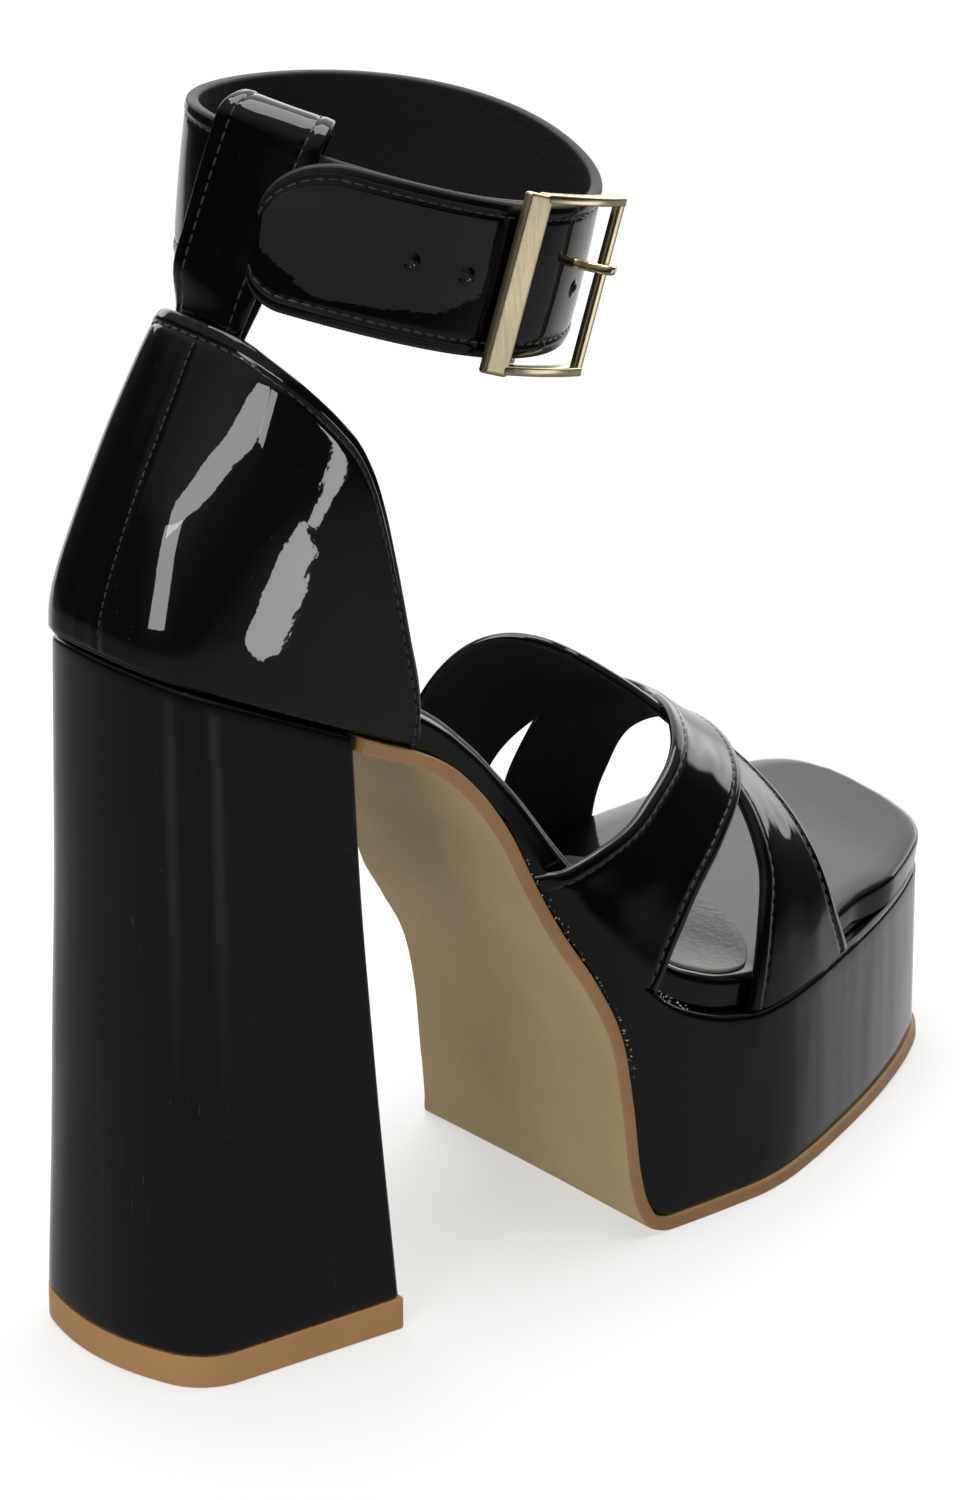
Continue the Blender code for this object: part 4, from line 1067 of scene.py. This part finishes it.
def counter_grid():
    """Grid of the counter's outer face with its heights and the distance round from the back seam."""
    near_seam = COUNTER_SEAM + np.linspace(-SEAM_REACH, SEAM_REACH, SEAM_ROWS)
    turn = np.unique(np.concatenate([np.linspace(-1, 1, COUNTER_ROWS), near_seam]))
    top = smooth(TOPLINE, "height", heel_line(turn)[:, 0])
    width = top - GAP
    places = strip_places(width)
    inside = drawn_together(places, width, COUNTER_WALL / 2)
    height = GAP + np.where(width[:, None] > 2 * COUNTER_WALL, inside, places)
    face = counter_surface(np.broadcast_to(turn[:, None], height.shape), height)
    foot = run_length(face[:, 0])
    around = foot - np.interp(COUNTER_SEAM, turn, foot)
    tuck = COUNTER_TUCK * np.clip(1 - places / TUCK_HEIGHT, 0, 1) ** 2
    rise = creased(around, places, COUNTER_FOLDS) - tuck
    return face - normals(face) * rise[..., None], places, width, around


def vamp_surface(x, share):
    """Outer face over the forefoot: a rounded section from one edge of the sole over to the other."""
    lateral = smooth(OUTLINE, "lateral", x) + STRAP_INSET
    medial = smooth(OUTLINE, "medial", x) - STRAP_INSET
    base = insole_underside(x)
    turn = np.pi * np.where(share < 0.5, share, 1 - share)
    spread = np.cos(turn).clip(0) ** (2 / SECTION_POWER)
    rise = np.sin(turn) ** (2 / SECTION_POWER)
    edge = np.where(share < 0.5, lateral, medial)
    return np.stack([x, RIDGE_SIDE + (edge - RIDGE_SIDE) * spread,
                     base + (smooth(RIDGE, "height", x) - base) * rise], -1)


def strap_foot(top, along):
    """Rows that carry a strap's lateral foot on down the platform's side, furthest at its rear edge.

    Points move in straight lines from the foot's top row to the lower edge of the platform; along is the
    share of each point from the rear to the front edge."""
    x = top[:, 0] - FOOT_SPREAD * (1 - along)
    station = smooth(PLATFORM, "outsole", x)
    low_x, low_z = beside(outsole_low, station, SHEET + GAP)
    low = np.stack([low_x, smooth(OUTLINE, "lateral", station) - FOOT_PROUD, low_z], -1)
    fade = np.clip((along - FOOT_FADE_START) / FOOT_FADE_LENGTH, 0, 1)
    reach = 1 - FOOT_FADE * fade ** 2 * (3 - 2 * fade)
    share = np.linspace(1, 0, FOOT_ROWS, endpoint=False)[:, None, None]
    return top + (low - top) * reach[:, None] * share


def strap_grid(edges, lift, folds):
    """Outer face of one vamp strap, with the places across it, its width and its length at each row."""
    share = np.linspace(0, 1, STRAP_ROWS)
    rear = smooth(edges, "rear", share)
    front = smooth(edges, "front", share)
    width = np.linalg.norm(vamp_surface(front, share) - vamp_surface(rear, share), axis=1)
    places = strip_places(width)
    along = drawn_together(places, width, STRAP_WALL / 2) / width[:, None]
    stations = rear[:, None] + (front - rear)[:, None] * along
    face = vamp_surface(stations, np.broadcast_to(share[:, None], along.shape))
    face = face - normals(face) * (lift * smooth(CROSSING, "lift", share))[:, None, None]
    length = run_length(face[:, face.shape[1] // 2])
    folds = dict(folds, across=np.interp(folds["across"], share, length))
    face = face - normals(face) * creased(length, places, folds)[..., None]
    if lift:
        face[..., 1] -= FOOT_PROUD * bell(share, FOOT_PROUD_LENGTH)[:, None]
        foot = strap_foot(face[0], along[0])
        face = np.concatenate([foot, face])
        places = np.concatenate([np.broadcast_to(places[0], foot.shape[:2]), places])
        width = np.concatenate([np.full(len(foot), width[0]), width])
    return face, places, width, run_length(face[:, face.shape[1] // 2])


def band_middle(angle):
    """Middle line of the ankle band at an angle round the leg, 0 at the front and 90 degrees medial."""
    height = (BAND_HEIGHT - BAND_FRONT_DROP * np.cos(angle) + BAND_MEDIAL_RISE * np.sin(angle)
              + BAND_SADDLE * np.cos(2 * angle) + BAND_TWIST * np.sin(2 * angle))
    along = BAND_HALF_LENGTH * np.cos(angle)
    side = BAND_HALF_WIDTH * np.sin(angle)
    x = BAND_CENTRE[0] + along * math.cos(BAND_TURN) - side * math.sin(BAND_TURN)
    y = BAND_CENTRE[1] + along * math.sin(BAND_TURN) + side * math.cos(BAND_TURN)
    return np.stack([x, y, height], -1)


def band_axes(degrees):
    """Directions at an angle round the leg: along the band, up the band and outwards."""
    angle = np.radians(degrees)
    along = band_middle(angle + ANGLE_PROBE) - band_middle(angle - ANGLE_PROBE)
    lean = BAND_LEAN - BAND_LEAN_LATERAL * np.sin(angle)
    up = np.stack([lean, np.full_like(lean, BAND_SPREAD), np.ones_like(lean)], -1)
    return [unit(way) for way in (along, up, np.cross(along, up))]


def band_point(degrees, level, offset):
    """Place beside the ankle: an angle round the leg, a level up the band and an offset outwards."""
    _, up, out = band_axes(degrees)
    middle = band_middle(np.radians(degrees))
    return middle + up * np.asarray(level)[..., None] + out * np.asarray(offset)[..., None]


def band_speed(degrees):
    """Millimetres of band for each degree round the leg."""
    step = 0.5
    ends = band_middle(np.radians(np.array([degrees - step, degrees + step])))
    return np.linalg.norm(ends[1] - ends[0]) / (2 * step)


def band_grid():
    """Outer face of the ankle strap from its sewn end to its round tip."""
    speed = band_speed(STRAP_TIP)
    tip = STRAP_TIP + (1 - np.cos(np.linspace(0, math.pi / 2, TIP_ROWS))) * TIP_TOP_RADIUS / speed
    degrees = np.concatenate([np.linspace(STRAP_START, tip[-1], BAND_ROWS), tip[-2::-1]])
    left = np.abs(degrees - STRAP_TIP) * speed
    cuts = [radius - np.sqrt(radius ** 2 - np.clip(radius - left, 0, radius) ** 2)
            for radius in (TIP_LOW_RADIUS, TIP_TOP_RADIUS)]
    width = BAND_WIDTH - sum(cuts)
    places = strip_places(width)
    level = cuts[0][:, None] - BAND_WIDTH / 2 + drawn_together(places, width, BAND_CORNER)
    angle = np.broadcast_to(degrees[:, None], level.shape)
    crown = BAND_CROWN * (1 - (2 * level / BAND_WIDTH) ** 2)
    spring = TIP_SPRING * np.clip(1 - left / TIP_SPRING_LENGTH, 0, 1)[:, None] ** 2
    offset = smooth(LAP, "offset", angle) + BAND_THICKNESS / 2 - BAND_CROWN + crown + spring
    face = band_point(angle, level, offset)
    return face, places, width, run_length(face[:, face.shape[1] // 2])


def punched_hole(angle, level):
    """Pushed-through hole of the ankle strap: a three-lobed lip round a sunk middle.

    Rings of given radius and height stand on the strap's face; the lip's radius swings three times."""
    profile = table("radius rise lobes", [
        (0.8, -0.6, 0),
        (2, -0.6, 0),
        (2, -0.05, 0),
        (1.6, 0.06, 0.08),
        (1.2, 0.3, 0.14),
        (0.95, 0.34, 0.16),
        (0.7, 0.1, 0.1),
        (0.5, -0.3, 0),
    ])
    around = circle(24)
    along, up, out = band_axes(np.array(angle))
    offset = float(smooth(LAP, "offset", angle)) + BAND_THICKNESS / 2
    centre = band_point(np.array(angle), level, offset)
    radius = profile["radius"][:, None] * (1 + profile["lobes"][:, None] * np.cos(3 * around))
    run, climb = radius * np.cos(around), radius * np.sin(around)
    rings = centre + along * run[..., None] + up * climb[..., None] + out * profile["rise"][:, None, None]
    looks = np.zeros((len(rings) - 1, 1), int)
    looks[-1] = 1
    return sweep(rings, looks, 1)


def through(rows, at):
    """Smooth curve through rows of points; whole numbers of at meet the rows."""
    last = len(rows) - 1
    i = np.minimum(at.astype(int), last - 1)
    f = (at - i)[:, None, None]
    before, here, after, later = (rows[np.clip(i + step, 0, last)] for step in (-1, 0, 1, 2))
    return 0.5 * (2 * here + (after - before) * f + (2 * before - 5 * here + 4 * after - later) * f ** 2
                  + (3 * here - before - 3 * after + later) * f ** 3)


def loop_grid():
    """Outer face of the back loop: up inside the counter, behind the band, over it and down inside it."""
    places = strip_places(np.array([LOOP_WIDTH]))[0]
    share = 2 * places / LOOP_WIDTH - 1
    spread = share * (LOOP_WIDTH / 2 - LOOP_EDGE) / band_speed(LOOP_ANGLE)
    fold = BAND_WIDTH / 2 + LOOP_RISE - FOLD_RADIUS
    path = [(level, LOOP_OFFSET) for level in (*LOOP_LEVELS, *FOLD_RISE)]
    path += [(fold + FOLD_RADIUS * np.sin(turn), LOOP_OFFSET - FOLD_RADIUS * (1 - np.cos(turn)))
             for turn in np.radians(FOLD_TURNS)]
    path += [*FOLD_RETURN, *((level, -LOOP_OFFSET) for level in reversed(LOOP_LEVELS))]
    upper = np.array([band_point(LOOP_ANGLE + LOOP_SLANT * level + spread, level,
                                 offset + LOOP_FLAT * share ** 2 * max(offset, 0) / LOOP_OFFSET)
                      for level, offset in path])
    heights = np.linspace(LOOP_FOOT, TOPLINE["height"][0], LOOP_FOOT_ROWS)
    turn, height = np.meshgrid(LOOP_FOOT_SHIFT + share * LOOP_FOOT_TURN, heights, indexing="ij")
    wall = counter_surface(turn, height)
    inwards = normals(wall)
    depths = [COUNTER_WALL + LOOP_SEAM * end + LOOP_THICKNESS * (end - 0.5) for end in (1, 2)]
    layers = [(wall + inwards * depth).transpose(1, 0, 2)[:, ::-1] for depth in depths]
    route = np.concatenate([layers[0], upper, layers[1][::-1]])
    middle = through(route, np.linspace(0, len(route) - 1, LOOP_ROWS))
    face = middle - normals(middle) * LOOP_THICKNESS / 2
    along = run_length(face[:, len(EDGE_PLACES) - 1])
    return face, np.broadcast_to(places, face.shape[:2]), np.full(len(face), LOOP_WIDTH), along


def buckle_point(along, level, out):
    """Place in the buckle's flat frame: along the band, up the band and outwards from it."""
    ways = band_axes(np.array(BUCKLE_ANGLE))
    steps = np.stack(np.broadcast_arrays(along, level, out), -1)
    return band_middle(np.radians(BUCKLE_ANGLE)) + steps @ np.array(ways)


def bar(path, wide, thick, across_way, power):
    """Round-ended bar along a path: superellipse sections that shrink to nothing at both ends.

    A section has half widths wide and thick, and its power says how square it is."""
    ahead = unit(np.gradient(path, axis=0))
    up = unit(np.cross(ahead, across_way))
    side = np.cross(up, ahead)
    place = run_length(path)
    reach = np.minimum(place, place[-1] - place)
    blunt = min(wide, thick) * BLUNT_SHARE
    shrink = np.sqrt(np.clip(1 - (1 - np.clip(reach / blunt, 0, 1)) ** 2, BLUNT_TIP, 1))
    turn = circle(32)
    run = np.sign(np.cos(turn)) * np.abs(np.cos(turn)) ** (2 / power)
    rise = np.sign(np.sin(turn)) * np.abs(np.sin(turn)) ** (2 / power)
    wide_now = wide - blunt * (1 - shrink)
    thick_now = thick - blunt * (1 - shrink)
    rings = (path[:, None] + side[:, None] * (wide_now[:, None] * run)[..., None]
             + up[:, None] * (thick_now[:, None] * rise)[..., None])
    return sweep(rings)[:2]


def seam(face, out, column_place, places, start=0, stop=None):
    """Path and normals of a seam that keeps a distance from a sheet's edge, in millimetres."""
    rows = np.arange(len(face))[start:stop]
    near = np.argmin(np.abs(places - column_place), axis=1)[rows]
    sink = sizes().groove / MM * THREAD_SINK
    return face[rows, near] - out[rows, near] * sink, out[rows, near]


def add_sewn_strip(name, grid, wall, corner, materials, thread, solid, ends, depth=1.0):
    """Adds a strip with sewn edges and the stitches of its two seams, which stop some rows from its ends.

    depth is the share of the usual groove. Gives the strip's outer face and the directions out of it."""
    face, places, width, along = grid
    rings, bands, out = slab(face, wall, corner, depth * sewn(places, width, along))
    add_piece(name, sweep(rings, bands, 1), materials, [solid])
    inset = sizes().stitch_inset / MM
    rows = [stitch_row(*seam(face, out, at, places, ends, -ends)) for at in (inset, width[:, None] - inset)]
    add_piece(name + "_stitches", joined(rows), [thread])
    return face, out


def glue_specks(count):
    """Specks of glue: seeded lumps along the platform's lip and the lateral edge of the outsole."""
    draw = np.random.default_rng(GLUE_SEED)
    lip = platform_faces(0.0)[1][:, 0]
    edge = outsole_faces(0.0)[1][:, 0]
    bodies = []
    for path, (start, end, proud) in ((lip, GLUE_LIP), (edge, GLUE_EDGE)):
        part = path[(path[:, 0] > start) & (path[:, 0] < end)] - np.array([0.0, proud, 0.0])
        at = draw.uniform(0, len(part) - 1, count // 2)
        middle = along_path(at, np.arange(len(part)), part)
        middle += draw.normal(size=middle.shape) * GLUE_SPREAD
        ahead = draw.normal(size=middle.shape)
        up = np.cross(ahead, draw.normal(size=middle.shape))
        big = draw.uniform(*GLUE_SIZE, len(middle))
        bodies.append(lumps(middle, ahead, up, *(big * part for part in GLUE_SHAPE)))
    return joined(bodies)


class PieceOperator:
    """What the sandal's operators share: they can be undone, and they need nothing selected."""
    bl_options = {"REGISTER", "UNDO"}


class SANDAL_OT_stage(PieceOperator, bpy.types.Operator):
    """Floor, soft studio lights and the camera"""
    bl_idname = "sandal.stage"
    bl_label = "Stage"

    def execute(self, context):
        scene = context.scene
        mesh = bpy.data.meshes.new("floor")
        corners = ((-1, -1), (1, -1), (1, 1), (-1, 1))
        mesh.from_pydata([(x * FLOOR_REACH, y * FLOOR_REACH, 0) for x, y in corners], [], [(0, 1, 2, 3)])
        # the floor glows with painted light that keeps its shadows pale
        mesh.materials.append(glowing_floor("glowing_floor_sheet"))
        floor = bpy.data.objects.new("floor", mesh)
        floor.visible_glossy = False
        scene.collection.objects.link(floor)
        world = bpy.data.worlds.new("studio")
        world.use_nodes = True
        studio_light(world.node_tree)
        scene.world = world
        for name, place, target, wide, high, power, roll, pieces in LIGHTS:
            light = bpy.data.lights.new(name, "AREA")
            light.shape = "RECTANGLE"
            light.size = wide * MM
            light.size_y = high * MM
            light.energy = power
            lamp = bpy.data.objects.new(name, light)
            lamp.location = Vector(place) * MM
            aim = (Vector(target) - Vector(place)).to_track_quat("-Z", "Y")
            lamp.rotation_euler = (aim @ Quaternion((0, 0, 1), math.radians(roll))).to_euler()
            lamp.visible_camera = False
            lamp.visible_glossy = name not in UNSEEN_LIGHTS
            if pieces:
                lamp.light_linking.receiver_collection = bpy.data.collections.new(name)
            scene.collection.objects.link(lamp)
        camera = bpy.data.objects.new("camera", bpy.data.cameras.new("camera"))
        camera.data.lens = LENS
        camera.data.sensor_width = SENSOR
        camera.location = Vector(EYE) * MM
        camera.rotation_euler = (Vector(AIM) - Vector(EYE)).to_track_quat("-Z", "Y").to_euler()
        scene.collection.objects.link(camera)
        scene.camera = camera
        scene.view_settings.view_transform = "Standard"
        return {"FINISHED"}


class SANDAL_OT_sole(PieceOperator, bpy.types.Operator):
    """Outsole sheet, platform, insole and sock pad"""
    bl_idname = "sandal.sole"
    bl_label = "Sole and footbed"

    def execute(self, context):
        sheet = moulded_sheet("rubber_sheet", colours().sheet, patchy=0.18, roughness=0.42)
        welt = moulded_sheet("painted_edge", colours().welt, patchy=0.3, roughness=0.5)
        body = plate(outsole_faces, low_corner=0.5, top_corner=0.4, looks=(0, 1, 0))
        add_piece("outsole_sheet", body, [sheet, welt], ["outsole"])
        wrap = patent_leather("platform_patent", wave=0.16, coat_roughness=0.05, stretch=(1.3, 1.3, 0.35))
        body = plate(platform_faces, low_corner=0.6, top_corner=1.6)
        add_piece("platform_wrap", body, [wrap], ["platform"])
        cover = patent_leather("insole_patent", wave=0.03, coat_roughness=0.08)
        body = plate(insole_faces, low_corner=0.6, top_corner=1.8)
        add_piece("insole_cover", body, [cover], ["insole"])
        glue = dried_glue("dried_glue")
        add_piece("glue_specks", glue_specks(sizes().specks), [glue])
        pad = grained("sock_pad", colours().sock, size=1.3, height=0.22, roughness=0.55, crease_shade_depth=0.5)
        add_piece("sock", plate(sock_faces, low_corner=0.1, top_corner=0.35), [pad])
        return {"FINISHED"}


class SANDAL_OT_heel(PieceOperator, bpy.types.Operator):
    """Wrapped block heel and its lift"""
    bl_idname = "sandal.heel"
    bl_label = "Heel"

    def execute(self, context):
        wrap = patent_leather("heel_patent", wave=0.1, coat_roughness=0.24, stretch=(1.0, 1.0, 0.4),
                              scuffs=0.3)
        add_piece("heel_block", sweep(heel_rings()), [wrap], ["heel"])
        rubber = moulded_sheet("lift_rubber", colours().lift, patchy=0.2, roughness=0.45)
        add_piece("heel_wear_piece", sweep(lift_rings()), [rubber], ["heel_lift"])
        return {"FINISHED"}


class SANDAL_OT_upper(PieceOperator, bpy.types.Operator):
    """Heel counter and the two crossed vamp straps, with their seams"""
    bl_idname = "sandal.upper"
    bl_label = "Upper"

    def execute(self, context):
        patent = patent_leather("upper_patent")
        lining = grained("lining", colours().lining, size=1.0, height=0.1, roughness=0.6)
        thread = sewing_thread("thread")
        face, places, width, around = counter_grid()
        rolls = BACK_ROLL_SHARE * bell(np.abs(around) - BACK_ROLL_PLACE, BACK_ROLL_WIDTH)
        relief = BACK_SEAM_DEPTH * (rolls - bell(around, BACK_SEAM_WIDTH))[:, None]
        relief = relief + seam_relief(width[:, None] - places)
        rings, bands, out = slab(face, COUNTER_WALL, COUNTER_WALL / 2, relief)
        body = sweep(rings, bands, 1)
        add_piece("counter", body, [patent, patent, lining], ["heel_counter"])
        stitches = [stitch_row(*seam(face, out, width[:, None] - sizes().stitch_inset / MM, places))]
        row = int(np.argmin(np.abs(around)))
        path = (face - BACK_STITCH_SINK * out)[row, BACK_STITCH_ROWS]
        stitches.append(stitch_row(path, out[row, BACK_STITCH_ROWS], BACK_STITCH_SCALE))
        add_piece("counter_stitches", joined(stitches), [thread])
        for name, edges, lift, folds in (("strap_over", STRAP_OVER, 1.0, OVER_FOLDS),
                                         ("strap_under", STRAP_UNDER, 0.0, UNDER_FOLDS)):
            add_sewn_strip(name, strap_grid(edges, lift, folds), STRAP_WALL, STRAP_WALL / 2,
                           [patent, patent, lining], thread, "vamp_straps", 4)
        return {"FINISHED"}


class SANDAL_OT_ankle(PieceOperator, bpy.types.Operator):
    """Ankle strap with its holes, and the back loop that carries it"""
    bl_idname = "sandal.ankle"
    bl_label = "Ankle strap"

    def execute(self, context):
        patent = patent_leather("strap_patent")
        edge = moulded_sheet("inked_edge", colours().edge, patchy=0.5, roughness=0.55, grit=0.6)
        lining = grained("strap_lining", colours().lining, size=0.8, height=0.1, roughness=0.6)
        thread = sewing_thread("strap_thread")
        grid = band_grid()
        face, out = add_sewn_strip("ankle_band", grid, BAND_THICKNESS, BAND_CORNER, [patent, edge, lining],
                                   thread, "ankle_strap", 3)
        upper = grid[2][:, None] - sizes().stitch_inset / MM
        row = stitch_row(*seam(face - out * BAND_THICKNESS, -out, upper, grid[1], 3, -3))
        add_piece("ankle_lining_stitches", row, [lining])
        for number, (angle, level) in enumerate(zip(HOLES["angle"], HOLES["level"]), 1):
            hole = punched_hole(angle, level)
            add_piece(f"strap_hole_{number}", hole, [patent, lining])
        add_sewn_strip("heel_loop", loop_grid(), LOOP_THICKNESS, LOOP_CORNER, [patent, patent, lining],
                       thread, "back_loop", 2, LOOP_GROOVE)
        return {"FINISHED"}


class SANDAL_OT_buckle(PieceOperator, bpy.types.Operator):
    """Buckle frame and prong"""
    bl_idname = "sandal.buckle"
    bl_label = "Buckle"

    def execute(self, context):
        satin = gold_plate("satin_gold_plate", roughness=0.34, brushed=0.003)
        bright = gold_plate("bright_gold_plate", roughness=0.2, brushed=0.002)
        way, up, _ = band_axes(np.array(BUCKLE_ANGLE))
        front = BUCKLE_REAR + BUCKLE_LENGTH
        half = BUCKLE_HALF_HEIGHT
        middle = BUCKLE_UNDERSIDE + BUCKLE_THICKNESS / 2
        thick = BUCKLE_THICKNESS / 2
        level = close_to_ends(-half, half, BAR_STEPS)
        wide = BUCKLE_WIDE_BAR / 2
        flat = bar(buckle_point(BUCKLE_REAR + wide, level, middle), wide, thick, way, WIDE_BAR_POWER)
        add_piece("buckle_wide_bar", flat, [satin], ["buckle_frame"], crease=40.0)
        thin = BUCKLE_THIN_BAR / 2
        bars = [bar(buckle_point(front - thin, level, middle), thin, thick, way, THIN_BAR_POWER)]
        along = close_to_ends(BUCKLE_REAR + BUCKLE_WIDE_BAR * RAIL_START, front - RAIL_END, BAR_STEPS)
        share = (along - along[0]) / (along[-1] - along[0])
        bow = BUCKLE_BOW * np.sin(np.pi * share)
        rail = BUCKLE_RAIL / 2
        deep = BUCKLE_RAIL_DEPTH / 2
        centre = BUCKLE_UNDERSIDE + BUCKLE_THICKNESS - deep + bow
        for side in (-1, 1):
            line = buckle_point(along, side * (half - rail), centre)
            bars.append(bar(line, rail, deep, up, RAIL_POWER))
        place, depth = CENTRE_BAR_PLACE
        reach = half - CENTRE_BAR_INSET
        inside = close_to_ends(-reach, reach, CENTRE_BAR_STEPS)
        line = buckle_point(place, inside, depth)
        bars.append(bar(line, CENTRE_BAR / 2, CENTRE_BAR / 2, way, ROUND_POWER))
        add_piece("buckle_bars", joined(bars), [bright], ["buckle_frame"], crease=60.0)
        rows = np.stack([PRONG_PATH["along"], PRONG_PATH["out"]], 1)[:, None]
        line = through(rows, np.linspace(0, len(rows) - 1, BAR_STEPS))[:, 0]
        path = buckle_point(line[:, 0], PRONG_LEVEL, line[:, 1])
        pin = bar(path, PRONG_WIDTH / 2, PRONG_THICKNESS / 2, up, PRONG_POWER)
        add_piece("buckle_pin", pin, [bright], ["buckle_prong"], crease=60.0)
        return {"FINISHED"}


class SANDAL_PT_panel(bpy.types.Panel):
    """Buttons for the sandal's pieces, and the values that they use"""
    bl_idname = "SANDAL_PT_panel"
    bl_label = "Platform sandal"
    bl_space_type = "VIEW_3D"
    bl_region_type = "UI"
    bl_category = "Sandal"

    def draw(self, context):
        for step in STEPS:
            self.layout.operator(step.bl_idname)
        for group in (context.scene.sandal_sizes, context.scene.sandal_colours):
            for name in group.bl_rna.properties.keys():
                if name not in ("rna_type", "name"):
                    self.layout.prop(group, name)


STEPS = (SANDAL_OT_stage, SANDAL_OT_sole, SANDAL_OT_heel, SANDAL_OT_upper, SANDAL_OT_ankle,
         SANDAL_OT_buckle)
CLASSES = (SandalColours, SandalSizes, *STEPS, SANDAL_PT_panel)


def register():
    """Registers the classes and hangs the property groups on the scene."""
    for item in CLASSES:
        bpy.utils.register_class(item)
    bpy.types.Scene.sandal_colours = PointerProperty(type=SandalColours)
    bpy.types.Scene.sandal_sizes = PointerProperty(type=SandalSizes)


def unregister():
    """Takes the property groups and classes away again."""
    del bpy.types.Scene.sandal_sizes
    del bpy.types.Scene.sandal_colours
    for item in reversed(CLASSES):
        bpy.utils.unregister_class(item)


def main():
    """Registers the classes and builds every piece in order."""
    register()
    for step in STEPS:
        group, name = step.bl_idname.split(".")
        getattr(getattr(bpy.ops, group), name)()


if __name__ == "__main__":
    main()
